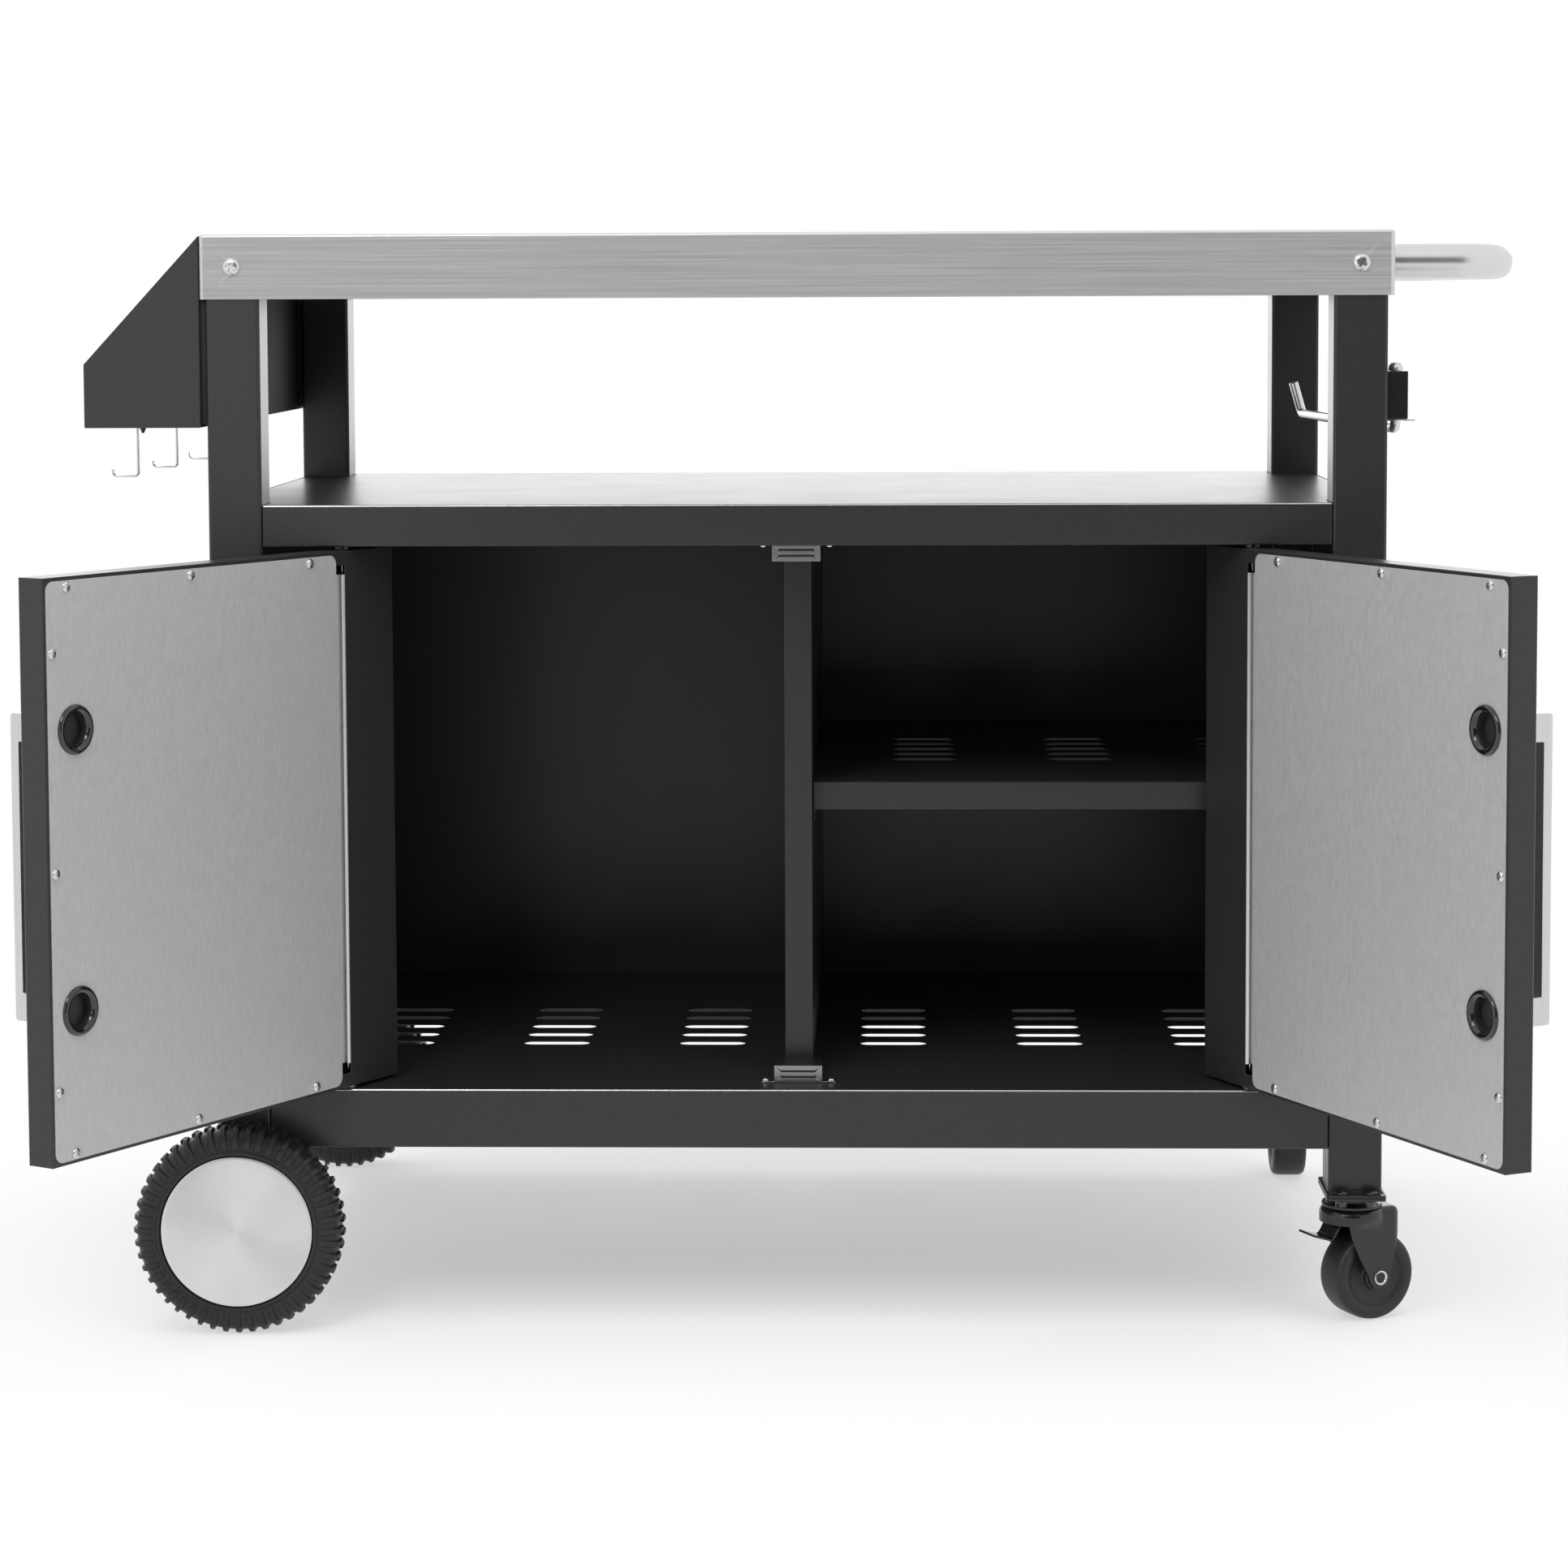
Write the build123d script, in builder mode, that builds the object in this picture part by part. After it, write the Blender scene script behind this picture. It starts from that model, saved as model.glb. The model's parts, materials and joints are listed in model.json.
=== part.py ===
"""Grill cart: steel frame on two wheels and two casters, stainless worktop, two-door cabinet.

Millimetres. The origin is on the floor, midway between the four legs. +X is to the right of
somebody standing at the doors, +Y points to the back and +Z is up. The doors stand open, as
they do in the photograph.
"""

import os
from math import cos, radians, sin

from build123d import *

# Legs and worktop
leg_size = 45.0
leg_wall = 1.5
leg_corner = 3.0
frame_width = 984.0
frame_depth = 576.0
worktop_sheet = 1.5
worktop_end_gap = 3.5
worktop_corner = 4.0
worktop_bend = 2.5
apron_height = 54.0
open_height = 172.0
stiffener_width = 40.0
stiffener_height = 20.0
stiffener_spacing = 330.0
screw_shank = 3.0
screw_head = 6.2
screw_head_height = 3.4
screw_taper = 20.0

# Clearances: between sheets that sit against each other, and in turning joints
fit = 0.3
running = 0.05

# Cabinet sheets
sheet = 1.2
shelf_top = 695.0
shelf_flange = 35.0
shelf_lip = 64.0
shelf_setback = 0.5
base_top = 200.0
base_flange = 50.0
base_lip = 18.0
side_recess = 3.0
side_flange = 20.0
back_inset = 12.0
back_corner = 6.0
divider_front = 68.0
divider_width = 24.0
half_shelf_top = 451.0
half_shelf_front = 85.0
half_shelf_flange = 24.0
rail_size = 15.0
rail_end_gap = 36.0

# Vent slots
vent_length = 59.0
vent_width = 17.0
vent_pitch = 40.0
vent_rows = 5
vent_spacing = 140.0
vent_groups = 3
base_vent_middle = 221.0

# Doors
left_door_open = 120.3
right_door_open = 117.0
door_thickness = 25.0
door_setback = 1.5
door_bend = 2.0
door_top_gap = 3.0
door_bottom_gap = 3.0
meeting_gap = 4.0
jamb_gap = 12.0
pivot_inset = 65.0
edge_lip = 12.0
pin_radius = 4.0
pin_collar = 7.0
pin_collar_height = 2.0
pin_length = 20.0
pin_reach = 5.0
washer_radius = 8.0
liner_sheet = 1.0
liner_margin = 3.0
liner_corner = 8.0
liner_start = 25.0
liner_groove_depth = 5.2
liner_groove_width = 11.6
liner_groove_end = 20.0
liner_groove_gap = 0.4
liner_screw_radius = 4.0
liner_screw_height = 2.2
liner_screw_edge = 8.0
liner_screw_outer = 25.0
liner_screw_middle = 170.0
liner_screw_inner = 320.0
liner_screw_rise = 169.0
handle_from_edge = 31.0
handle_length = 240.0
handle_width = 20.0
handle_bar = 8.0
handle_standoff = 30.0
handle_foot = 22.0
handle_bend = 3.0
grommet_radius = 19.5
grommet_barrel = 17.0
grommet_hole = 12.0
grommet_flange = 2.5
grommet_depth = 8.0

# Magnetic catches
catch_width = 41.0
catch_depth = 31.0
catch_height = 15.0
catch_ear_reach = 28.0
catch_ear = 11.0
catch_ear_sheet = 1.5
catch_clearance = 0.8
pole_length = 30.0
pole_width = 1.6
pole_depth = 1.0
pole_spacing = 5.0
catch_screw_radius = 3.6
catch_screw_height = 2.2

# Spice rack and hooks on the left end
rack_width = 98.0
rack_top_gap = 1.0
rack_height = 160.0
rack_outer_height = 53.0
hook_spacing = 184.0
hook_from_outer = 25.0
hook_drop = 44.0
hook_foot = 22.0
hook_tip = 6.0
hook_tab = 14.0
hook_thickness = 1.8
hook_width = 6.0
hook_bend = 3.5
rack_bolt_from_hook = 24.0
rack_bolt_from_outer = 34.0
rack_bolt_radius = 4.0
rack_bolt_height = 7.0

# Push handle on the right end
grip_radius = 15.0
grip_wall = 1.5
grip_reach = 113.0
grip_end_inset = 65.0
grip_drop = 26.0
grip_bend = 40.0
collar_radius = 19.0
collar_nose = 17.0
collar_length = 6.0

# Swing arm on the right end
arm_radius = 4.25
arm_pin_out = 9.0
arm_pin_depth = 22.0
bracket_raise = 2.8
arm_length = 410.0
arm_inward = 35.0
arm_tip = 28.0
arm_tip_lean = 8.0
arm_bend = 6.0
bracket_height = 40.0
bracket_width = 18.0
bracket_depth = 22.0
bracket_sheet = 2.0
arm_head_radius = 6.2
arm_head_height = 7.0
clip_radius = 7.0
clip_sheet = 1.2
clip_tail = 16.0
bracket_screw_radius = 3.0
bracket_screw_height = 2.0

# Wheels on the left legs
wheel_radius = 88.0
wheel_width = 44.0
wheel_gap = 4.0
axle_radius = 6.0
left_leg_bottom = 62.0
tread_root = 85.0
tyre_bead = 64.0
tyre_shoulder_slope = 30.0
tyre_edge = 6.0
tread_groove = 3.0
lug_count = 48
lug_width = 4.0
rim_wall = 3.0
hub_radius = 14.0
web_thickness = 4.0
hub_length = 34.0
cap_thickness = 1.5
axle_nut_radius = 11.0
axle_nut_height = 5.0
axle_washer_radius = 13.0

# Casters on the right legs
caster_height = 111.0
plate_width = 50.0
plate_depth = 72.0
plate_thickness = 2.5
plate_corner = 4.0
plate_bolt_x = 24.0
plate_bolt_y = 59.0
plate_bolt_radius = 3.0
plate_bolt_head = 5.5
plate_bolt_head_height = 3.2
plate_nut_height = 5.0
race_radius = 18.0
race_height = 7.0
crown_radius = 26.0
crown_thickness = 3.0
race_ring_radius = 25.0
race_ring_height = 3.5
kingpin_radius = 5.0
kingpin_head = 9.0
kingpin_head_height = 2.5
caster_radius = 38.0
caster_width = 32.0
caster_trail = 15.0
caster_hub_gap = 3.0
caster_recess = 3.0
caster_recess_outer = 29.0
caster_recess_inner = 12.0
caster_axle_radius = 4.0
caster_axle_head = 8.0
caster_axle_head_height = 2.4
caster_axle_eye = 4.4
fork_sheet = 2.4
fork_nose = 22.0
fork_tail = 36.0
fork_skirt = 13.0
fork_end = 10.0
fork_heel_drop = 26.0
fork_throat_bow = 6.0
fork_throat_rise = 26.0
fork_lip_length = 8.0
brake_pin_radius = 2.0
brake_pin_back = 15.0
brake_pin_drop = 8.0
brake_eye = 4.5
brake_sheet = 2.0
brake_width = 24.0
brake_elbow_back = 26.0
brake_elbow_drop = 26.0
brake_tip_back = 45.0
brake_tip_drop = 20.0
front_caster_angle = 26.0
back_caster_angle = 90.0

# Places worked out from the sizes above
front = -frame_depth / 2
back = frame_depth / 2
leg_x = (frame_width - leg_size) / 2
leg_y = (frame_depth - leg_size) / 2
leg_inner = frame_width / 2 - leg_size
worktop_top = shelf_top + open_height + apron_height
leg_top = worktop_top - worktop_sheet
worktop_width = frame_width + 2 * (worktop_end_gap + worktop_sheet)
worktop_depth = frame_depth + 2 * (fit + worktop_sheet)
apron_middle = worktop_top - apron_height / 2
shelf_half_width = frame_width / 2 - side_recess - sheet - fit
shelf_depth = frame_depth - 2 * shelf_setback
shelf_underside = shelf_top - shelf_flange
pivot_x = leg_inner - pivot_inset
pivot_y = front + door_setback + door_thickness / 2
door_reach = pivot_x - meeting_gap / 2
door_tail = pivot_inset - jamb_gap
groove_width = liner_groove_width + 2 * liner_sheet
tail_lip = door_tail + liner_start + liner_sheet - groove_width - liner_groove_gap
door_bottom = base_top + door_bottom_gap
door_top = shelf_underside - door_top_gap
door_height = door_top - door_bottom
door_middle = (door_top + door_bottom) / 2
handle_u = door_reach - handle_from_edge
grommet_spacing = handle_length - handle_foot
catch_y = front + door_setback + door_thickness + liner_sheet + catch_clearance

os.makedirs("parts", exist_ok=True)


def save(builder, name):
    """Label a finished piece and write it under its own name."""
    builder.part.label = name
    export_step(builder.part, f"parts/{name}.step")


# Worktop: a stainless pan with a turned-down apron, screwed to the legs front and back
with BuildPart() as worktop:
    with BuildSketch(Plane.XY.offset(worktop_top)):
        RectangleRounded(worktop_width, worktop_depth, worktop_corner)
    extrude(amount=-apron_height)
    offset(amount=-worktop_sheet, openings=worktop.faces().sort_by(Axis.Z)[0])
    fillet(worktop.faces().sort_by(Axis.Z)[-1].edges(), worktop_bend)
    with BuildSketch(Plane.XZ):
        with Locations((-leg_x, apron_middle), (leg_x, apron_middle)):
            Circle(screw_shank + fit)
    extrude(amount=worktop_depth, both=True, mode=Mode.SUBTRACT)
save(worktop, "worktop")

# Two hat-section stiffeners under the worktop, running from front to back
with BuildPart() as stiffeners:
    with BuildSketch(Plane.XZ.offset(-front - fit)):
        with Locations((-stiffener_spacing / 2, leg_top), (stiffener_spacing / 2, leg_top)):
            Rectangle(stiffener_width, stiffener_height, align=(Align.CENTER, Align.MAX))
            Rectangle(
                stiffener_width - 2 * sheet,
                stiffener_height - sheet,
                align=(Align.CENTER, Align.MAX),
                mode=Mode.SUBTRACT,
            )
    extrude(amount=-(frame_depth - 2 * fit))
save(stiffeners, "worktop_stiffeners")

# Legs: square tubes; the left ones carry the axle, the right ones end in a caster foot plate
for end, leg_side_y in (("front", -1), ("back", 1)):
    for side, leg_side_x in (("left", -1), ("right", 1)):
        leg_center = (leg_side_x * leg_x, leg_side_y * leg_y)
        tube_bottom = left_leg_bottom if side == "left" else caster_height + plate_thickness
        with BuildPart() as leg:
            with BuildSketch(Plane.XY.offset(tube_bottom)):
                with Locations(leg_center):
                    RectangleRounded(leg_size, leg_size, leg_corner)
                    RectangleRounded(
                        leg_size - 2 * leg_wall,
                        leg_size - 2 * leg_wall,
                        leg_corner - leg_wall,
                        mode=Mode.SUBTRACT,
                    )
            extrude(amount=leg_top - tube_bottom)
            if side == "left":
                with BuildSketch(Plane.XZ):
                    with Locations((leg_center[0], wheel_radius)):
                        Circle(axle_radius + running)
                extrude(amount=frame_depth, both=True, mode=Mode.SUBTRACT)
            else:
                with BuildSketch(Plane.XY.offset(caster_height)):
                    with Locations(leg_center):
                        RectangleRounded(plate_width, plate_depth, plate_corner)
                        with GridLocations(plate_bolt_x, plate_bolt_y, 2, 2):
                            Circle(plate_bolt_radius + fit, mode=Mode.SUBTRACT)
                extrude(amount=plate_thickness)
            with BuildSketch(Plane.XZ.offset(-leg_center[1])):
                with Locations((leg_center[0], apron_middle)):
                    Circle(screw_shank + fit)
            extrude(amount=-leg_side_y * leg_size, mode=Mode.SUBTRACT)
        save(leg, f"{end}_{side}_leg")

# Screws that hold the worktop's apron to the legs
with BuildPart() as worktop_screws:
    for face_y, outward in ((-worktop_depth / 2, -1), (worktop_depth / 2, 1)):
        with BuildSketch(Plane.XZ.offset(-face_y)):
            with Locations((-leg_x, apron_middle), (leg_x, apron_middle)):
                Circle(screw_head)
        extrude(amount=-outward * screw_head_height, taper=screw_taper)
        with BuildSketch(Plane.XZ.offset(-face_y)):
            with Locations((-leg_x, apron_middle), (leg_x, apron_middle)):
                Circle(screw_shank)
        extrude(amount=outward * (worktop_sheet + fit + 2 * leg_wall))
save(worktop_screws, "worktop_screws")


def notched_plan():
    """Plan of a full shelf: a rectangle with its corners cut away round the legs."""
    Rectangle(2 * shelf_half_width, shelf_depth)
    with GridLocations(2 * leg_x, 2 * leg_y, 2, 2):
        Rectangle(leg_size + 2 * fit, leg_size + 2 * fit, mode=Mode.SUBTRACT)


# Upper shelf: roof of the cabinet, with a lip below its front flange for catch and pivots
with BuildPart() as upper_shelf:
    with BuildSketch(Plane.XY.offset(shelf_top)):
        notched_plan()
    extrude(amount=-shelf_flange)
    offset(amount=-sheet, openings=upper_shelf.faces().sort_by(Axis.Z)[0])
    with BuildSketch(Plane.XY.offset(shelf_underside)):
        with Locations((0, front + shelf_setback)):
            Rectangle(2 * (leg_inner - fit), shelf_lip, align=(Align.CENTER, Align.MIN))
        with Locations((-pivot_x, pivot_y), (pivot_x, pivot_y)):
            Circle(pin_radius + running, mode=Mode.SUBTRACT)
    extrude(amount=sheet)
save(upper_shelf, "upper_shelf")

# Base shelf: floor of the cabinet, with rows of vent slots
with BuildPart() as base_shelf:
    with BuildSketch(Plane.XY.offset(base_top)):
        notched_plan()
    extrude(amount=-base_flange)
    offset(amount=-sheet, openings=base_shelf.faces().sort_by(Axis.Z)[0])
    with BuildSketch(Plane.XY.offset(base_top - base_flange)):
        with Locations((0, front + shelf_setback)):
            Rectangle(2 * (leg_inner - fit), base_lip, align=(Align.CENTER, Align.MIN))
    extrude(amount=sheet)
    with BuildSketch(Plane.XY.offset(base_top)):
        with Locations((-base_vent_middle, 0), (base_vent_middle, 0)):
            with GridLocations(vent_spacing, vent_pitch, vent_groups, vent_rows):
                SlotOverall(vent_length, vent_width)
        with Locations((-pivot_x, pivot_y), (pivot_x, pivot_y)):
            Circle(pin_radius + running)
    extrude(amount=-2 * sheet, mode=Mode.SUBTRACT)
save(base_shelf, "base_shelf")

# Back panel: a sheet on the rear faces of the back legs
with BuildPart() as back_panel:
    with BuildSketch(Plane.XZ.offset(-back)):
        with Locations((0, base_top - base_flange)):
            RectangleRounded(
                frame_width - 2 * back_inset,
                shelf_top - base_top + base_flange,
                back_corner,
                align=(Align.CENTER, Align.MIN),
            )
    extrude(amount=-sheet)
save(back_panel, "back_panel")

# Side panels: sheets between the legs, with flanges turned in against them
for side, side_x in (("left", -1), ("right", 1)):
    panel_outer = side_x * (frame_width / 2 - side_recess)
    panel_length = frame_depth - 2 * (leg_size + fit)
    into_x = Align.MIN if side == "left" else Align.MAX
    with BuildPart() as side_panel:
        with BuildSketch(Plane.XY.offset(base_top - base_flange)):
            with Locations((panel_outer, 0)):
                Rectangle(sheet, panel_length, align=(into_x, Align.CENTER))
        extrude(amount=shelf_top - base_top + base_flange)
        with BuildSketch(Plane.XY.offset(base_top + fit)):
            with Locations((panel_outer, 0)):
                Rectangle(side_flange, panel_length, align=(into_x, Align.CENTER))
                Rectangle(
                    side_flange,
                    panel_length - 2 * sheet,
                    align=(into_x, Align.CENTER),
                    mode=Mode.SUBTRACT,
                )
        extrude(amount=shelf_underside - base_top - 2 * fit)
    save(side_panel, f"{side}_side_panel")

# Divider: a folded partition, open at the back, between the two bays
divider_length = frame_depth - divider_front - shelf_setback - sheet - fit
with BuildPart() as divider:
    with BuildSketch(Plane.XY.offset(base_top)):
        with Locations((0, front + divider_front)):
            Rectangle(divider_width, divider_length, align=(Align.CENTER, Align.MIN))
        with Locations((0, front + divider_front + sheet)):
            Rectangle(
                divider_width - 2 * sheet,
                divider_length,
                align=(Align.CENTER, Align.MIN),
                mode=Mode.SUBTRACT,
            )
    extrude(amount=shelf_top - sheet - base_top)
save(divider, "divider")

# Half shelf in the right bay, notched round the back leg, with its own vent slots
half_shelf_left = divider_width / 2 + fit
half_shelf_right = shelf_half_width
half_shelf_back = back - shelf_setback
half_shelf_width = half_shelf_right - half_shelf_left
half_shelf_depth = half_shelf_back - front - half_shelf_front
half_shelf_center = (
    (half_shelf_left + half_shelf_right) / 2,
    half_shelf_back - half_shelf_depth / 2,
)
with BuildPart() as half_shelf:
    with BuildSketch(Plane.XY.offset(half_shelf_top)):
        with Locations(half_shelf_center):
            Rectangle(half_shelf_width, half_shelf_depth)
        with Locations((leg_inner - fit, back - leg_size - sheet - 2 * fit)):
            Rectangle(leg_size, 2 * leg_size, align=(Align.MIN, Align.MIN), mode=Mode.SUBTRACT)
    extrude(amount=-half_shelf_flange)
    offset(amount=-sheet, openings=half_shelf.faces().sort_by(Axis.Z)[0])
    with BuildSketch(Plane.XY.offset(half_shelf_top)):
        with Locations(half_shelf_center):
            with GridLocations(vent_spacing, vent_pitch, vent_groups, vent_rows):
                SlotOverall(vent_length, vent_width)
    extrude(amount=-2 * sheet, mode=Mode.SUBTRACT)
save(half_shelf, "half_shelf")

# Angle rails that carry the half shelf, on the divider and on the right side panel
rail_front = front + half_shelf_front + rail_end_gap
rail_length = back - leg_size - rail_end_gap - rail_front
rail_top = half_shelf_top - half_shelf_flange
right_rail_face = frame_width / 2 - side_recess - sheet
with BuildPart() as half_shelf_rails:
    with BuildSketch(Plane.XZ.offset(-rail_front)):
        with Locations((divider_width / 2, rail_top)):
            Rectangle(rail_size, rail_size, align=(Align.MIN, Align.MAX))
        with Locations((divider_width / 2 + sheet, rail_top - sheet)):
            Rectangle(rail_size, rail_size, align=(Align.MIN, Align.MAX), mode=Mode.SUBTRACT)
        with Locations((right_rail_face, rail_top)):
            Rectangle(rail_size, rail_size, align=(Align.MAX, Align.MAX))
        with Locations((right_rail_face - sheet, rail_top - sheet)):
            Rectangle(rail_size, rail_size, align=(Align.MAX, Align.MAX), mode=Mode.SUBTRACT)
    extrude(amount=-rail_length)
save(half_shelf_rails, "half_shelf_rails")

# Magnetic catches: one stands on the base, one hangs from the shelf's lip
ear_y = catch_y + catch_ear / 2
for name, seat, away in (("bottom_catch", base_top, 1), ("top_catch", shelf_underside, -1)):
    with BuildPart() as catch:
        with BuildSketch(Plane.XY.offset(seat)):
            with Locations((0, catch_y)):
                Rectangle(catch_width, catch_depth, align=(Align.CENTER, Align.MIN))
        extrude(amount=away * catch_height)
        with BuildSketch(Plane.XY.offset(seat)):
            with Locations((0, ear_y)):
                SlotOverall(2 * catch_ear_reach + catch_ear, catch_ear)
        extrude(amount=away * catch_ear_sheet)
        with BuildSketch(Plane.XZ.offset(-catch_y)):
            with Locations((0, seat + away * (catch_height / 2))):
                with GridLocations(0, pole_spacing, 1, 2):
                    SlotOverall(pole_length, pole_width)
        extrude(amount=-pole_depth, mode=Mode.SUBTRACT)
    save(catch, name)

with BuildPart() as catch_screws:
    for seat, away in ((base_top, 1), (shelf_underside, -1)):
        with BuildSketch(Plane.XY.offset(seat + away * catch_ear_sheet)):
            with Locations((-catch_ear_reach, ear_y), (catch_ear_reach, ear_y)):
                Circle(catch_screw_radius)
        extrude(amount=away * catch_screw_height, taper=screw_taper)
save(catch_screws, "catch_screws")

# Spice rack: a folded bin with sloping ends, hung on the worktop's left end
rack_inner = -worktop_width / 2 - fit
rack_outer = rack_inner - rack_width
rack_top = worktop_top - rack_top_gap
rack_bottom = rack_top - rack_height
with BuildPart() as spice_rack:
    with BuildSketch(Plane.XZ.offset(-front)):
        with BuildLine():
            Polyline(
                (rack_inner, rack_bottom),
                (rack_inner, rack_top),
                (rack_outer, rack_bottom + rack_outer_height),
                (rack_outer, rack_bottom),
                close=True,
            )
        make_face()
    extrude(amount=-frame_depth)
    with BuildSketch(Plane.XZ.offset(-front - sheet)):
        with Locations((rack_inner - sheet, rack_bottom + sheet)):
            Rectangle(
                rack_width - 2 * sheet,
                rack_top - rack_bottom,
                align=(Align.MAX, Align.MIN),
            )
    extrude(amount=-(frame_depth - 2 * sheet), mode=Mode.SUBTRACT)
save(spice_rack, "spice_rack")

# Tool hooks: bent flat wire, spot-welded under the rack
hook_x = rack_outer + hook_from_outer
hook_top = rack_bottom - hook_thickness / 2
with BuildPart() as tool_hooks:
    for hook_y in (-hook_spacing, 0.0, hook_spacing):
        with BuildSketch(Plane.XZ.offset(-hook_y)):
            with BuildLine():
                FilletPolyline(
                    (hook_x + hook_tab, hook_top),
                    (hook_x, hook_top),
                    (hook_x, hook_top - hook_drop),
                    (hook_x - hook_foot, hook_top - hook_drop),
                    (hook_x - hook_foot, hook_top - hook_drop + hook_tip),
                    radius=hook_bend,
                )
            trace(line_width=hook_thickness)
        extrude(amount=hook_width / 2, both=True)
save(tool_hooks, "tool_hooks")

# Bolts that hold the rack's floor, with their nuts below
with BuildPart() as rack_bolts:
    with BuildSketch(Plane.XY.offset(rack_bottom)):
        with Locations((rack_outer + rack_bolt_from_outer, 0)):
            with GridLocations(0, 2 * (hook_spacing + rack_bolt_from_hook), 1, 2):
                RegularPolygon(rack_bolt_radius, 6)
    extrude(amount=-rack_bolt_height, taper=screw_taper)
save(rack_bolts, "rack_bolts")

# Push handle: a bent tube on the worktop's right end
grip_x = worktop_width / 2 + fit
grip_z = worktop_top - grip_drop
grip_y = frame_depth / 2 - grip_end_inset
with BuildPart() as push_handle:
    with BuildLine() as grip_path:
        FilletPolyline(
            (grip_x, -grip_y, grip_z),
            (grip_x + grip_reach - grip_radius, -grip_y, grip_z),
            (grip_x + grip_reach - grip_radius, grip_y, grip_z),
            (grip_x, grip_y, grip_z),
            radius=grip_bend,
        )
    with BuildSketch(Plane(origin=grip_path.line @ 0, z_dir=grip_path.line % 0)):
        Circle(grip_radius)
        Circle(grip_radius - grip_wall, mode=Mode.SUBTRACT)
    sweep()
save(push_handle, "push_handle")

with BuildPart() as handle_collars:
    for collar_y in (-grip_y, grip_y):
        with BuildSketch(Plane(origin=(0, collar_y, grip_z), x_dir=(1, 0, 0), z_dir=(0, -1, 0))):
            with BuildLine():
                Polyline(
                    (grip_x, grip_radius + running),
                    (grip_x, collar_radius),
                    (grip_x + collar_length / 3, collar_radius),
                    (grip_x + collar_length, collar_nose),
                    (grip_x + collar_length, grip_radius + running),
                    close=True,
                )
            make_face()
        revolve(axis=Axis((0, collar_y, grip_z), (1, 0, 0)))
save(handle_collars, "handle_collars")

# Swing arm: a bracket on the front right leg, and a bent rod that turns in it
arm_x = frame_width / 2 + arm_pin_out
arm_y = front + arm_pin_depth
bracket_x = frame_width / 2
bracket_y = arm_y - bracket_depth / 2
bracket_middle = shelf_top + open_height / 2 + bracket_raise
bracket_bottom = bracket_middle - bracket_height / 2
bracket_top = bracket_bottom + bracket_height
arm_height = bracket_bottom - arm_bend - clip_sheet - 2 * fit
with BuildPart() as arm_bracket:
    with BuildSketch(Plane.XY.offset(bracket_bottom)):
        with Locations((bracket_x, bracket_y)):
            Rectangle(bracket_width, bracket_depth, align=(Align.MIN, Align.MIN))
    extrude(amount=bracket_height)
    offset(
        amount=-bracket_sheet,
        openings=[
            arm_bracket.faces().sort_by(Axis.X)[-1],
            arm_bracket.faces().sort_by(Axis.Y)[-1],
        ],
    )
    with BuildSketch(Plane.XY.offset(bracket_bottom)):
        with Locations((arm_x, arm_y)):
            Circle(arm_radius + running)
    extrude(amount=bracket_height, mode=Mode.SUBTRACT)
save(arm_bracket, "arm_bracket")

with BuildPart() as bracket_screws:
    with BuildSketch(Plane.YZ.offset(bracket_x + bracket_sheet)):
        with Locations(
            (bracket_y + bracket_depth - bracket_screw_radius - fit, bracket_bottom + bracket_height / 2)
        ):
            with GridLocations(0, bracket_height / 2, 1, 2):
                Circle(bracket_screw_radius)
    extrude(amount=bracket_screw_height, taper=screw_taper)
save(bracket_screws, "bracket_screws")

arm_end = (arm_x - arm_inward, arm_y + arm_length, arm_height)
with BuildPart() as swing_arm:
    with BuildLine() as arm_path:
        FilletPolyline(
            (arm_x, arm_y, bracket_top + fit),
            (arm_x, arm_y, arm_height),
            arm_end,
            (arm_end[0] - arm_tip_lean, arm_end[1], arm_height + arm_tip),
            radius=arm_bend,
        )
    with BuildSketch(Plane(origin=arm_path.line @ 0, z_dir=arm_path.line % 0)):
        Circle(arm_radius)
    sweep()
    with BuildSketch(Plane.XY.offset(bracket_top + fit)):
        with Locations((arm_x, arm_y)):
            Circle(arm_head_radius)
    extrude(amount=arm_head_height, taper=screw_taper)
save(swing_arm, "swing_arm")

with BuildPart() as arm_clip:
    with BuildSketch(Plane.XY.offset(bracket_bottom - fit)):
        with Locations((arm_x, arm_y)):
            Circle(clip_radius)
        with Locations((arm_x + clip_tail / 2, arm_y)):
            Rectangle(clip_tail, clip_radius)
        with Locations((arm_x, arm_y)):
            Circle(arm_radius + running, mode=Mode.SUBTRACT)
    extrude(amount=-clip_sheet)
save(arm_clip, "arm_clip")

# Axle through the two left legs, with a washer beside each leg and a nut at each end
axle_end = frame_depth / 2 + wheel_gap + hub_length
with BuildPart() as axle:
    with BuildSketch(Plane.XZ):
        with Locations((-leg_x, wheel_radius)):
            Circle(axle_radius)
    extrude(amount=axle_end + axle_nut_height, both=True)
save(axle, "axle")

with BuildPart() as axle_washers:
    for washer_y in (front, back + wheel_gap - fit):
        with BuildSketch(Plane.XZ.offset(-washer_y)):
            with Locations((-leg_x, wheel_radius)):
                Circle(axle_washer_radius)
                Circle(axle_radius + running, mode=Mode.SUBTRACT)
        extrude(amount=wheel_gap - fit)
save(axle_washers, "axle_washers")

with BuildPart() as axle_nuts:
    for nut_y in (-axle_end - fit, axle_end + axle_nut_height):
        with BuildSketch(Plane.XZ.offset(-nut_y)):
            with Locations((-leg_x, wheel_radius)):
                RegularPolygon(axle_nut_radius, 6)
                Circle(axle_radius + running, mode=Mode.SUBTRACT)
        extrude(amount=axle_nut_height - fit)
save(axle_nuts, "axle_nuts")


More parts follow.
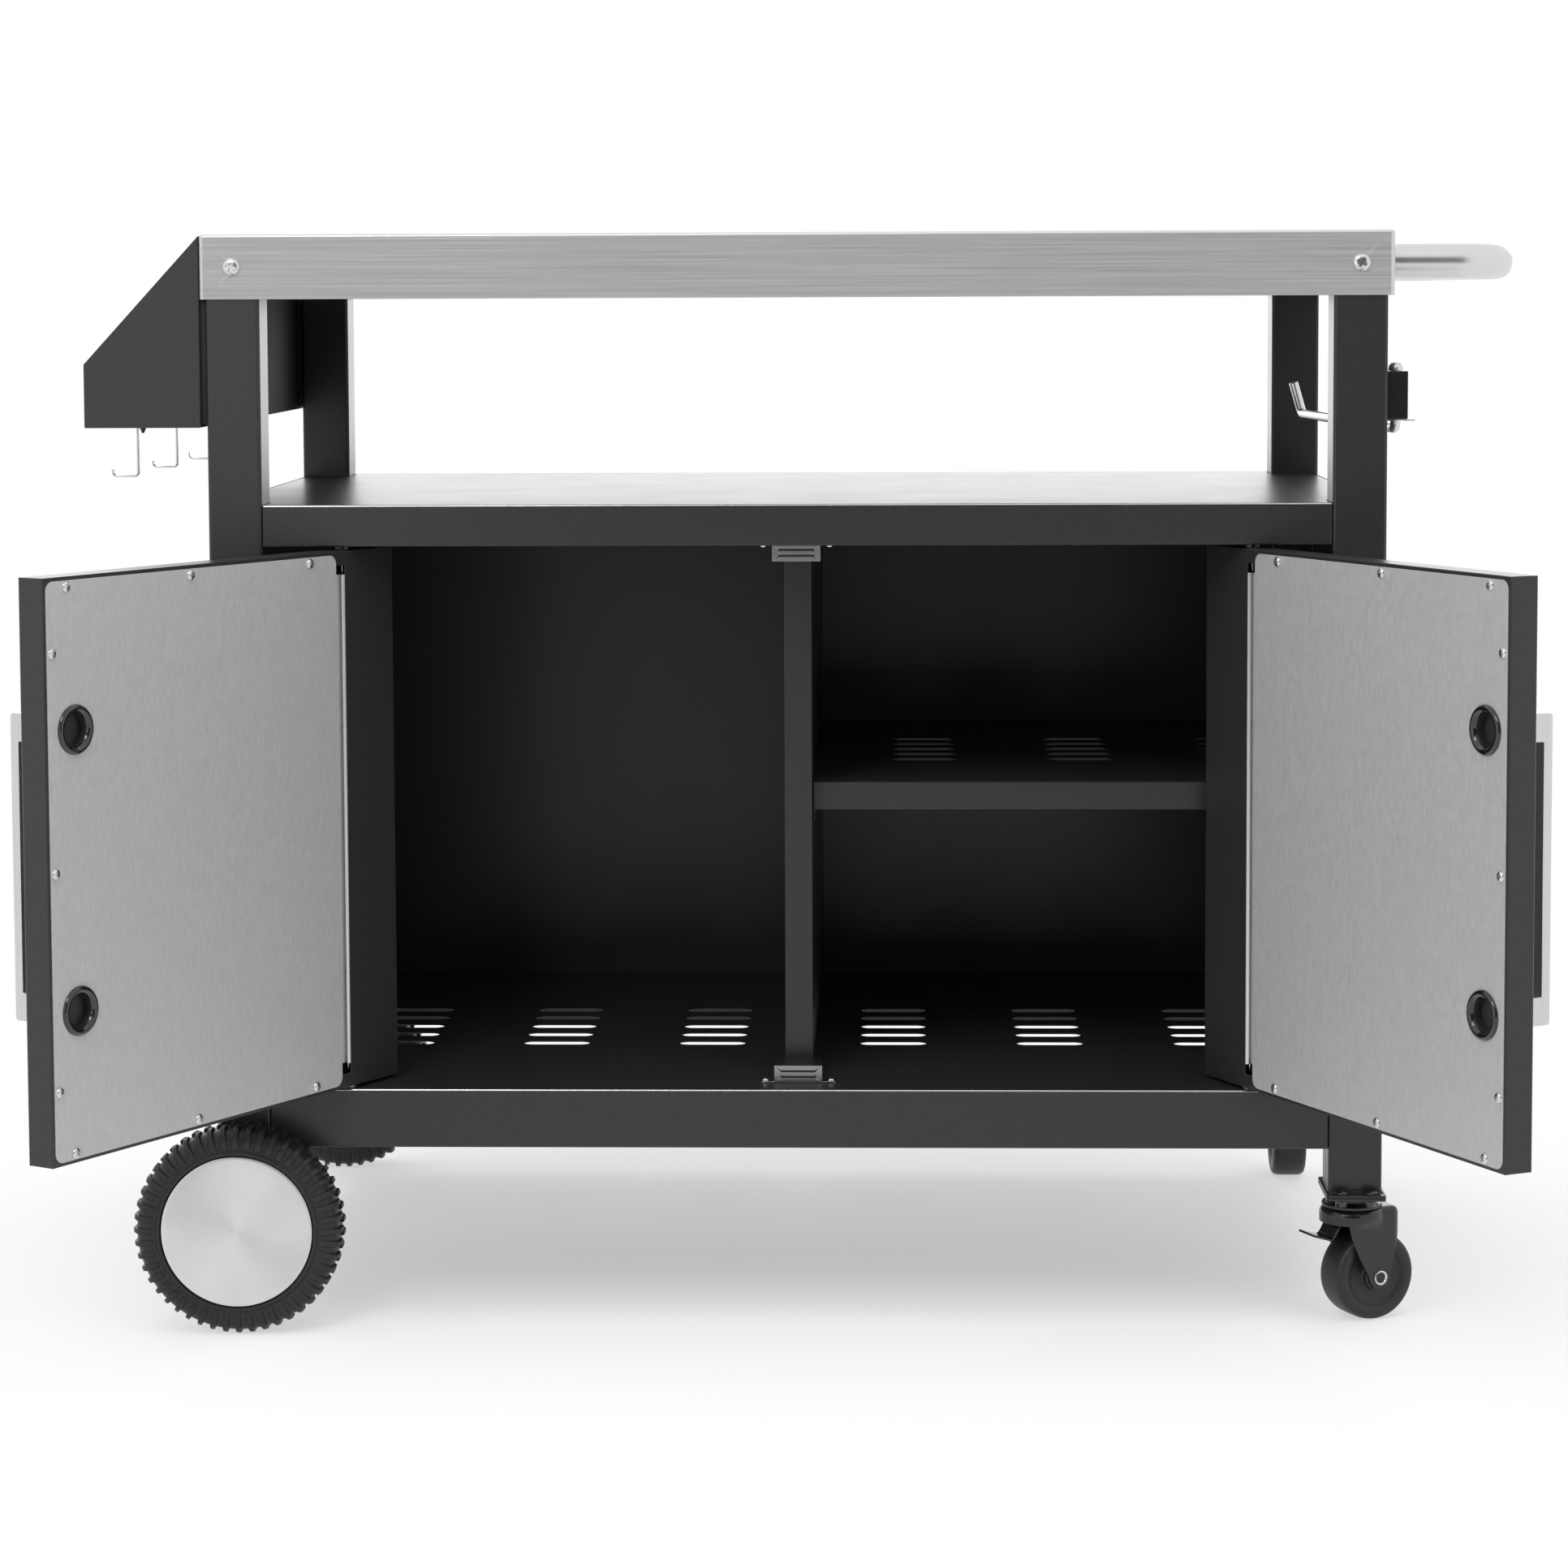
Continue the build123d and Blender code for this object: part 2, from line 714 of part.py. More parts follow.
def wheel_plane(outward, distance):
    """Plane across the axle, facing outwards, this far from the wheel's inner face."""
    inner_face = frame_depth / 2 + wheel_gap
    return Plane(
        origin=(-leg_x, outward * (inner_face + distance), wheel_radius),
        x_dir=(1, 0, 0),
        z_dir=(0, outward, 0),
    )


def tread_section(turn):
    """Ring of the tyre with its lugs, turned so that the two rows of lugs are staggered."""
    Circle(tread_root)
    with PolarLocations((tread_root + wheel_radius) / 2 - fit, lug_count, start_angle=turn):
        Rectangle(wheel_radius - tread_root + 2 * fit, lug_width)
    Circle(tyre_bead, mode=Mode.SUBTRACT)


# Wheels: a rim that runs on the axle, a lugged tyre and a bare hub cap
row_width = (wheel_width - tread_groove) / 2 - tyre_edge
for end, outward in (("front", -1), ("back", 1)):
    with BuildPart() as tyre:
        for row_start, turn in ((tyre_edge, 0), (wheel_width / 2 + tread_groove / 2, 180 / lug_count)):
            with BuildSketch(wheel_plane(outward, row_start)):
                tread_section(turn)
            extrude(amount=row_width)
        with BuildSketch(wheel_plane(outward, tyre_edge + row_width)):
            Circle(tread_root)
            Circle(tyre_bead, mode=Mode.SUBTRACT)
        extrude(amount=tread_groove)
        for wall_start, wall in ((tyre_edge, -tyre_edge), (wheel_width - tyre_edge, tyre_edge)):
            with BuildSketch(wheel_plane(outward, wall_start)):
                Circle(tread_root)
            extrude(amount=wall, taper=tyre_shoulder_slope)
        with BuildSketch(wheel_plane(outward, 0)):
            Circle(tyre_bead)
        extrude(amount=wheel_width, mode=Mode.SUBTRACT)
    save(tyre, f"{end}_tyre")

    with BuildPart() as rim:
        with BuildSketch(wheel_plane(outward, fit)):
            Circle(tyre_bead - fit)
            Circle(tyre_bead - rim_wall, mode=Mode.SUBTRACT)
        extrude(amount=wheel_width - 2 * fit - cap_thickness)
        with BuildSketch(wheel_plane(outward, (wheel_width - web_thickness) / 2)):
            Circle(tyre_bead - rim_wall / 2)
        extrude(amount=web_thickness)
        with BuildSketch(wheel_plane(outward, fit)):
            Circle(hub_radius)
        extrude(amount=hub_length - 2 * fit)
        with BuildSketch(wheel_plane(outward, 0)):
            Circle(axle_radius + running)
        extrude(amount=wheel_width, mode=Mode.SUBTRACT)
    save(rim, f"{end}_rim")

    with BuildPart() as cap:
        with BuildSketch(wheel_plane(outward, wheel_width - cap_thickness)):
            Circle(tyre_bead - fit)
        extrude(amount=cap_thickness)
        outer_rim = cap.edges().filter_by(GeomType.CIRCLE).sort_by(Axis((0, 0, 0), (0, outward, 0)))[-1]
        fillet(outer_rim, cap_thickness / 2)
    save(cap, f"{end}_cap")

# Casters: plate with a king pin, forked swivel, wheel on its bolt, and a brake lever
plate_bottom = caster_height - plate_thickness
race_bottom = plate_bottom - race_height
crown_top = race_bottom - race_ring_height - fit
crown_bottom = crown_top - crown_thickness
fork_inside = caster_width / 2 + caster_hub_gap
fork_outside = fork_inside + fork_sheet
for end, caster_y, angle in (("front", -leg_y, front_caster_angle), ("back", leg_y, back_caster_angle)):
    along = Vector(cos(radians(angle)), sin(radians(angle)), 0)
    across = Vector(-sin(radians(angle)), cos(radians(angle)), 0)
    stem = Vector(leg_x, caster_y, 0)
    flat = Plane(origin=stem, x_dir=along, z_dir=(0, 0, 1))
    side_view = Plane(origin=stem, x_dir=along, z_dir=-across)

    with BuildPart() as caster_plate:
        with BuildSketch(Plane.XY.offset(plate_bottom)):
            with Locations((leg_x, caster_y)):
                RectangleRounded(plate_width, plate_depth, plate_corner)
                with GridLocations(plate_bolt_x, plate_bolt_y, 2, 2):
                    Circle(plate_bolt_radius + fit, mode=Mode.SUBTRACT)
        extrude(amount=plate_thickness)
        with BuildSketch(flat.offset(race_bottom)):
            Circle(race_radius)
        extrude(amount=race_height)
        with BuildSketch(flat.offset(crown_bottom - fit)):
            Circle(kingpin_radius)
        extrude(amount=race_bottom - crown_bottom + fit)
        with BuildSketch(flat.offset(crown_bottom - fit)):
            Circle(kingpin_head)
        extrude(amount=-kingpin_head_height)
    save(caster_plate, f"{end}_caster_plate")

    with BuildPart() as fork:
        with BuildSketch(side_view):
            with BuildLine():
                fork_top = Line((-fork_nose, crown_top), (fork_tail, crown_top))
                fork_heel = Line(fork_top @ 1, (fork_tail - crown_thickness, crown_top - fork_heel_drop))
                fork_back = Line(fork_heel @ 1, (caster_trail + fork_end, caster_radius))
                fork_foot = ThreePointArc(
                    fork_back @ 1,
                    (caster_trail, caster_radius - fork_end),
                    (caster_trail - fork_end, caster_radius),
                )
                fork_throat = ThreePointArc(
                    fork_foot @ 1,
                    (caster_trail - fork_end - fork_throat_bow, caster_radius + fork_throat_rise),
                    (-fork_nose + fork_lip_length, crown_top - fork_skirt),
                )
                fork_lip = Line(fork_throat @ 1, (-fork_nose, crown_top - fork_skirt))
                Line(fork_lip @ 1, fork_top @ 0)
            make_face()
        extrude(amount=fork_outside, both=True)
        with BuildSketch(flat.offset(crown_bottom)):
            Rectangle(4 * caster_radius, 2 * fork_inside)
        extrude(amount=-crown_bottom, mode=Mode.SUBTRACT)
        with BuildSketch(flat.offset(crown_bottom)):
            Circle(crown_radius)
        extrude(amount=crown_thickness)
        with BuildSketch(flat.offset(crown_top)):
            Circle(race_ring_radius)
        extrude(amount=race_ring_height)
        fillet(fork.faces().sort_by(Axis.Z)[-1].edges(), race_ring_height / 3)
        with BuildSketch(flat.offset(crown_bottom)):
            Circle(kingpin_radius + running)
        extrude(amount=race_bottom - crown_bottom, mode=Mode.SUBTRACT)
        with BuildSketch(side_view):
            with Locations((caster_trail, caster_radius)):
                Circle(caster_axle_radius + running)
        extrude(amount=2 * fork_outside, both=True, mode=Mode.SUBTRACT)
        with BuildSketch(side_view):
            with Locations((-brake_pin_back, crown_top - brake_pin_drop)):
                Circle(brake_pin_radius)
        extrude(amount=fork_outside, both=True)
    save(fork, f"{end}_caster_fork")

    with BuildPart() as caster_wheel:
        with BuildSketch(side_view):
            with Locations((caster_trail, caster_radius)):
                Circle(caster_radius)
        extrude(amount=caster_width / 2, both=True)
        fillet(caster_wheel.edges().filter_by(GeomType.CIRCLE), caster_hub_gap)
        for face_side in (-1, 1):
            with BuildSketch(side_view.offset(face_side * caster_width / 2)):
                with Locations((caster_trail, caster_radius)):
                    Circle(caster_recess_outer)
                    Circle(caster_recess_inner, mode=Mode.SUBTRACT)
            extrude(amount=-face_side * caster_recess, mode=Mode.SUBTRACT)
            with BuildSketch(side_view.offset(face_side * caster_width / 2)):
                with Locations((caster_trail, caster_radius)):
                    Circle(caster_recess_inner)
            extrude(amount=face_side * (caster_hub_gap - fit))
        with BuildSketch(side_view):
            with Locations((caster_trail, caster_radius)):
                Circle(caster_axle_radius + running)
        extrude(amount=caster_width, both=True, mode=Mode.SUBTRACT)
    save(caster_wheel, f"{end}_caster_wheel")

    with BuildPart() as caster_axle:
        with BuildSketch(side_view):
            with Locations((caster_trail, caster_radius)):
                Circle(caster_axle_radius)
        extrude(amount=fork_outside, both=True)
        for face_side in (-1, 1):
            with BuildSketch(side_view.offset(face_side * fork_outside)):
                with Locations((caster_trail, caster_radius)):
                    Circle(caster_axle_head)
            extrude(amount=face_side * caster_axle_head_height)
            with BuildSketch(side_view.offset(face_side * (fork_outside + caster_axle_head_height))):
                with Locations((caster_trail, caster_radius)):
                    Circle(caster_axle_eye)
            extrude(amount=-face_side * caster_axle_head_height / 2, mode=Mode.SUBTRACT)
    save(caster_axle, f"{end}_caster_axle")

    with BuildPart() as brake:
        with BuildSketch(side_view):
            with BuildLine():
                FilletPolyline(
                    (-brake_pin_back, crown_top - brake_pin_drop),
                    (-brake_elbow_back, crown_top - brake_elbow_drop),
                    (-brake_tip_back, crown_top - brake_tip_drop),
                    radius=brake_eye,
                )
            trace(line_width=brake_sheet)
            with Locations((-brake_pin_back, crown_top - brake_pin_drop)):
                Circle(brake_eye)
                Circle(brake_pin_radius + running, mode=Mode.SUBTRACT)
        extrude(amount=brake_width / 2, both=True)
    save(brake, f"{end}_caster_brake")

# Bolts and nuts that hold the caster plates to the legs' foot plates
with BuildPart() as caster_bolts:
    for caster_y in (-leg_y, leg_y):
        for start, radius, rise in (
            (plate_bottom, plate_bolt_radius, 2 * plate_thickness),
            (caster_height + plate_thickness, plate_bolt_head, plate_bolt_head_height),
            (plate_bottom, plate_bolt_head, -plate_nut_height),
        ):
            with BuildSketch(Plane.XY.offset(start)):
                with Locations((leg_x, caster_y)):
                    with GridLocations(plate_bolt_x, plate_bolt_y, 2, 2):
                        Circle(radius)
            extrude(amount=rise)
save(caster_bolts, "caster_bolts")

# Doors: each is a pan that turns on two pins, with a tail that swings into the cabinet
for side, side_x, door_open in (("left", -1, left_door_open), ("right", 1, right_door_open)):
    turn = radians(side_x * door_open)
    hinge = Plane(
        origin=(side_x * pivot_x, pivot_y, 0),
        x_dir=(cos(turn), sin(turn), 0),
        z_dir=(0, 0, 1),
    )
    to_free_edge = -side_x

    def face_plane(depth, hinge=hinge):
        """Plane parallel to the door's faces, looking out of the cabinet when it is shut."""
        return Plane(
            origin=hinge.from_local_coords((0, depth, 0)),
            x_dir=hinge.x_dir,
            z_dir=-hinge.y_dir,
        )

    inner_face = door_thickness / 2
    pan_middle = to_free_edge * (door_reach - door_tail) / 2
    pan_width = door_reach + door_tail
    window_middle = to_free_edge * (door_reach - edge_lip - door_tail + tail_lip) / 2
    with BuildPart() as shell:
        with BuildSketch(face_plane(-inner_face)):
            with Locations((pan_middle, door_middle)):
                Rectangle(pan_width, door_height)
        extrude(amount=-door_thickness)
        outer_skin = shell.faces().sort_by(Axis(hinge.origin, hinge.y_dir))[0]
        fillet(outer_skin.edges(), door_bend)
        with BuildSketch(face_plane(-inner_face + sheet)):
            with Locations((pan_middle, door_middle)):
                Rectangle(pan_width - 2 * sheet, door_height - 2 * sheet)
        extrude(amount=-(door_thickness - 2 * sheet), mode=Mode.SUBTRACT)
        with BuildSketch(face_plane(inner_face)):
            with Locations((window_middle, door_middle)):
                Rectangle(pan_width - edge_lip - tail_lip, door_height - 2 * edge_lip)
        extrude(amount=2 * sheet, mode=Mode.SUBTRACT)
        with BuildSketch(hinge.offset(door_bottom)):
            Circle(pin_radius + running)
        extrude(amount=door_height, mode=Mode.SUBTRACT)
    save(shell, f"{side}_door_shell")

    liner_width = door_reach - liner_margin - liner_start
    liner_height = door_height - 2 * liner_margin
    liner_middle = to_free_edge * (liner_start + liner_width / 2)
    groove_height = door_height - 2 * liner_groove_end
    groove_middle = to_free_edge * (liner_start + liner_sheet - groove_width / 2)
    with BuildPart() as liner:
        with BuildSketch(face_plane(inner_face)):
            with Locations((liner_middle, door_middle)):
                RectangleRounded(liner_width, liner_height, liner_corner)
            with Locations((to_free_edge * handle_u, door_middle)):
                with GridLocations(0, grommet_spacing, 1, 2):
                    Circle(grommet_barrel + fit, mode=Mode.SUBTRACT)
        extrude(amount=-liner_sheet)
        with BuildSketch(face_plane(inner_face)):
            with Locations((groove_middle, door_middle)):
                Rectangle(groove_width, groove_height)
                Rectangle(liner_groove_width, groove_height, mode=Mode.SUBTRACT)
        extrude(amount=liner_groove_depth)
        with BuildSketch(face_plane(inner_face - liner_groove_depth)):
            with Locations((groove_middle, door_middle)):
                Rectangle(groove_width, groove_height)
        extrude(amount=liner_sheet)
    save(liner, f"{side}_door_liner")

    with BuildPart() as liner_screws:
        screw_places = [
            (to_free_edge * (door_reach - column), door_middle + row)
            for column in (liner_screw_outer, liner_screw_middle, liner_screw_inner)
            for row in (liner_screw_edge - door_height / 2, door_height / 2 - liner_screw_edge)
        ]
        screw_places += [
            (to_free_edge * (door_reach - liner_screw_edge), door_middle + row)
            for row in (-liner_screw_rise, 0, liner_screw_rise)
        ]
        with BuildSketch(face_plane(inner_face + liner_sheet)):
            with Locations(*screw_places):
                Circle(liner_screw_radius)
        extrude(amount=-liner_screw_height, taper=screw_taper)
    save(liner_screws, f"{side}_door_screws")

    with BuildPart() as grommets:
        for start, radius, rise in (
            (inner_face + liner_sheet, grommet_radius, -grommet_flange),
            (inner_face + liner_sheet, grommet_barrel, grommet_depth),
        ):
            with BuildSketch(face_plane(start)):
                with Locations((to_free_edge * handle_u, door_middle)):
                    with GridLocations(0, grommet_spacing, 1, 2):
                        Circle(radius)
                        Circle(grommet_hole, mode=Mode.SUBTRACT)
            extrude(amount=rise)
        rims = grommets.faces().sort_by(Axis(hinge.origin, hinge.y_dir))[-2:]
        fillet(rims.edges(), grommet_flange / 2.5)
    save(grommets, f"{side}_door_grommets")

    with BuildPart() as door_handle:
        with BuildSketch(
            Plane(
                origin=hinge.from_local_coords((to_free_edge * handle_u, 0, 0)),
                x_dir=hinge.y_dir,
                z_dir=hinge.x_dir,
            )
        ):
            with Locations((-inner_face, door_middle)):
                Rectangle(handle_standoff, handle_length, align=(Align.MAX, Align.CENTER))
                Rectangle(
                    handle_standoff - handle_bar,
                    handle_length - 2 * handle_foot,
                    align=(Align.MAX, Align.CENTER),
                    mode=Mode.SUBTRACT,
                )
        extrude(amount=handle_width / 2, both=True)
        outer_bar = door_handle.faces().sort_by(Axis(hinge.origin, hinge.y_dir))[0]
        fillet(outer_bar.edges().filter_by(Axis(hinge.origin, hinge.x_dir)), handle_bend)
    save(door_handle, f"{side}_door_handle")

    with BuildPart() as pins:
        for start, radius, rise in (
            (door_top - pin_length, pin_radius, pin_length + door_top_gap + pin_reach),
            (door_top - sheet, pin_collar, -pin_collar_height),
            (door_bottom + pin_length, pin_radius, -(pin_length + door_bottom_gap + pin_reach)),
            (door_bottom + sheet, pin_collar, pin_collar_height),
        ):
            with BuildSketch(hinge.offset(start)):
                Circle(radius)
            extrude(amount=rise)
    save(pins, f"{side}_door_pins")

# Washers that carry the doors on the base and steady them below the shelf's lip
with BuildPart() as pivot_washers:
    for start, rise in (
        (base_top, door_bottom_gap - fit),
        (shelf_underside, -(door_top_gap - fit)),
    ):
        with BuildSketch(Plane.XY.offset(start)):
            with Locations((-pivot_x, pivot_y), (pivot_x, pivot_y)):
                Circle(washer_radius)
                Circle(pin_radius + running, mode=Mode.SUBTRACT)
        extrude(amount=rise)
save(pivot_washers, "pivot_washers")
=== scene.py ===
"""Looks of a grill cart: bent sheet, brushed steel, tyres, casters and screws around its CAD frame."""

import json
import math

import bmesh
import bpy
from bpy.props import FloatProperty, FloatVectorProperty, IntProperty, PointerProperty
from mathutils import Matrix, Vector


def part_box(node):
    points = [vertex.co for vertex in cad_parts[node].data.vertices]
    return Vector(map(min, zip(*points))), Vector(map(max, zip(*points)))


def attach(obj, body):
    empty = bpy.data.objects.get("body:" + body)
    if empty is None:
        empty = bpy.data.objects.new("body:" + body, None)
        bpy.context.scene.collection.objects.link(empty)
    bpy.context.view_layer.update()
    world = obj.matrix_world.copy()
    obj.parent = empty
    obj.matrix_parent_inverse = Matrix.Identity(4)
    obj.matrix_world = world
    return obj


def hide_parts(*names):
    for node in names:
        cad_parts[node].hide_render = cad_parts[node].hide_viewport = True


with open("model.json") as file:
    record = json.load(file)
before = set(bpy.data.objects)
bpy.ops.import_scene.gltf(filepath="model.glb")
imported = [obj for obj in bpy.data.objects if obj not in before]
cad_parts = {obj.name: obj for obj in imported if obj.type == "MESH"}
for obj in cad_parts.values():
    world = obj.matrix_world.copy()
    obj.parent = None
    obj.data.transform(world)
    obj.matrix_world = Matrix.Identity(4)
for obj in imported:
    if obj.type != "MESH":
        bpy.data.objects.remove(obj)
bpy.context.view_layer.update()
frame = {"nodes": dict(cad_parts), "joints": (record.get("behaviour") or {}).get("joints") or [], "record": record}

bl_info = {
    "name": "Grill Cart Looks",
    "version": (1, 0, 0),
    "blender": (4, 5, 0),
    "location": "View3D > Sidebar > Cart",
    "description": "Dresses the grill cart's frame with bent sheet, steel, rubber and screws",
    "category": "Object",
}

BODY_OF = {node: body for body, nodes in frame["record"]["behaviour"]["bodies"].items() for node in nodes}
JOINTS = {joint["name"]: joint for joint in frame["joints"]}
DOORS = ("left", "right")
ENDS = ("front", "back")
IMAGE_SIZE = 1932
WELD_DISTANCE = 2e-5
TINY = 1e-7
FLAT_ANGLE = math.radians(0.7)
BEND_ANGLE = math.radians(28)
NOISE_RANGE = (0.3, 0.7)
UPRIGHT = (0, 0, 1)


def size_setting(name, description, default):
    """A length for the sidebar."""
    return FloatProperty(name=name, description=description, default=default, unit="LENGTH")


def colour_setting(name, description, default):
    """A colour for the sidebar."""
    return FloatVectorProperty(
        name=name, description=description, subtype="COLOR", default=default, min=0, max=1)


class CartSizes(bpy.types.PropertyGroup):
    """Sizes of the details that the looks add to the frame."""

    fold: size_setting("Fold radius", "Rounding of a bend in the cabinet's sheet", 0.0010)
    rim: size_setting("Rim radius", "Rounding of a cut edge of the sheet", 0.00035)
    pressing: size_setting("Pressing radius", "Rounding of the caster plates", 0.00055)
    grip_bend: size_setting("Handle bend", "Bend of the push handle at its middle line", 0.040)
    rod_bend: size_setting("Rod bend", "Bend of the swing arm at its middle line", 0.006)
    hook_bend: size_setting("Hook bend", "Bend of a tool hook at its middle line", 0.0035)
    lugs: IntProperty(name="Lugs", description="Lugs in one row of a tyre", default=48, min=12)
    lug_width: size_setting("Lug width", "Width of a lug round the tyre", 0.0038)
    lug_height: size_setting("Lug height", "How far a lug stands out of the tyre", 0.003)


class CartColours(bpy.types.PropertyGroup):
    """Colours of the cart's finishes."""

    coat: colour_setting("Powder coat", "Black of the frame and cabinet", (0.0235, 0.0235, 0.0245))
    enamel: colour_setting("Caster black", "Black of casters and bracket", (0.008, 0.008, 0.0085))
    steel: colour_setting("Brushed steel", "Worktop and door handles", (0.64, 0.64, 0.64))
    liner: colour_setting("Satin steel", "Door liners", (0.50, 0.50, 0.50))
    tube: colour_setting("Polished tube", "Push handle", (0.70, 0.70, 0.70))
    zinc: colour_setting("Zinc plate", "Screws, hooks, arm and catches", (0.66, 0.67, 0.68))
    cap: colour_setting("Wheel cap", "Silver of the wheel caps", (0.72, 0.72, 0.73))
    rubber: colour_setting("Tyre", "Rubber of the large wheels", (0.016, 0.016, 0.017))
    plastic: colour_setting("Moulded black", "Rims, caster wheels and door plugs", (0.016, 0.016, 0.017))


def sizes():
    """Sizes that the operators read."""
    return bpy.context.scene.cart_sizes


# Materials


def add_node(tree, kind, inputs=(), **settings):
    """A node with its settings and the values of its inputs."""
    made = tree.nodes.new(kind)
    for name, value in settings.items():
        setattr(made, name, value)
    for socket, value in dict(inputs).items():
        made.inputs[socket].default_value = value
    return made


def join(tree, *links):
    """Link sockets, each link given as node, output, node, input."""
    for source, out, target, into in links:
        tree.links.new(source.outputs[out], target.inputs[into])


def new_material(name):
    """A node material with its Principled shader and Object coordinates at hand."""
    material = bpy.data.materials.new(name)
    material.use_nodes = True
    tree = material.node_tree
    spot = add_node(tree, "ShaderNodeTexCoord")
    return material, tree, tree.nodes["Principled BSDF"], spot.outputs["Object"]


def noise(tree, spot, scale, detail=3.0, stretch=None):
    """Noise over Object coordinates, drawn out along an axis if a stretch is given."""
    texture = add_node(tree, "ShaderNodeTexNoise", {"Scale": scale, "Detail": detail})
    if stretch:
        mapping = add_node(tree, "ShaderNodeMapping", {"Scale": stretch})
        tree.links.new(spot, mapping.inputs["Vector"])
        spot = mapping.outputs["Vector"]
    tree.links.new(spot, texture.inputs["Vector"])
    return texture.outputs["Fac"]


def span(tree, value, middle, spread):
    """Noise value carried over to a range about a middle."""
    ranged = add_node(tree, "ShaderNodeMapRange", {
        "From Min": NOISE_RANGE[0], "From Max": NOISE_RANGE[1],
        "To Min": middle - spread, "To Max": middle + spread})
    tree.links.new(value, ranged.inputs["Value"])
    return ranged.outputs["Result"]


def tint(tree, value, colour, dark, light):
    """Colour that wanders between a darker and a lighter version of itself."""
    ramp = add_node(tree, "ShaderNodeValToRGB")
    for stop, position, share in zip(ramp.color_ramp.elements, NOISE_RANGE, (dark, light)):
        stop.position = position
        stop.color = (*[part * share for part in colour], 1)
    tree.links.new(value, ramp.inputs["Fac"])
    return ramp.outputs["Color"]


def bump(tree, shader, value, strength, distance):
    """Fine relief on a shader."""
    relief = add_node(tree, "ShaderNodeBump", {"Strength": strength, "Distance": distance})
    tree.links.new(value, relief.inputs["Height"])
    tree.links.new(relief.outputs["Normal"], shader.inputs["Normal"])


def coated(name, colour, grain, relief, rough, uneven, extra):
    """Paint, powder coat, plastic or rubber: dark, with a grain and an uneven gloss."""
    material, tree, shader, spot = new_material(name)
    cloud = noise(tree, spot, scale=14.0)
    fine = noise(tree, spot, scale=grain, detail=2.0)
    tree.links.new(tint(tree, fine, colour, dark=0.82, light=1.22), shader.inputs["Base Color"])
    tree.links.new(span(tree, cloud, rough, uneven), shader.inputs["Roughness"])
    bump(tree, shader, fine, relief, distance=0.0003)
    for socket, value in extra.items():
        shader.inputs[socket].default_value = value
    return material


def brushed(name, colour, stretch, rough, streak, metal, relief):
    """Steel brushed one way: streaks in its colour, gloss and relief."""
    material, tree, shader, spot = new_material(name)
    shader.inputs["Metallic"].default_value = metal
    lines = noise(tree, spot, scale=1.0, detail=4.0, stretch=stretch)
    tree.links.new(tint(tree, lines, colour, 1 - streak, 1 + streak), shader.inputs["Base Color"])
    tree.links.new(span(tree, lines, rough, spread=0.04), shader.inputs["Roughness"])
    bump(tree, shader, lines, relief, distance=0.0002)
    return material


def spun(name, colour, box, rough, stretched):
    """Metal spun round the wheels' axle, its gloss drawn out across the fine rings."""
    material, tree, shader, spot = new_material(name)
    spoke = add_node(tree, "ShaderNodeVectorMath", {1: (box[0] + box[1]) / 2}, operation="SUBTRACT")
    ring = add_node(tree, "ShaderNodeVectorMath", {1: (0, 1, 0)}, operation="CROSS_PRODUCT")
    carried = add_node(
        tree, "ShaderNodeVectorTransform", vector_type="VECTOR", convert_from="OBJECT", convert_to="WORLD")
    tree.links.new(spot, spoke.inputs[0])
    join(
        tree, (spoke, "Vector", ring, 0), (ring, "Vector", carried, "Vector"),
        (carried, "Vector", shader, "Tangent"))
    cloud = noise(tree, spot, scale=30.0)
    tree.links.new(tint(tree, cloud, colour, dark=0.97, light=1.03), shader.inputs["Base Color"])
    for socket, value in (("Metallic", 1.0), ("Roughness", rough), ("Anisotropic", stretched)):
        shader.inputs[socket].default_value = value
    return material


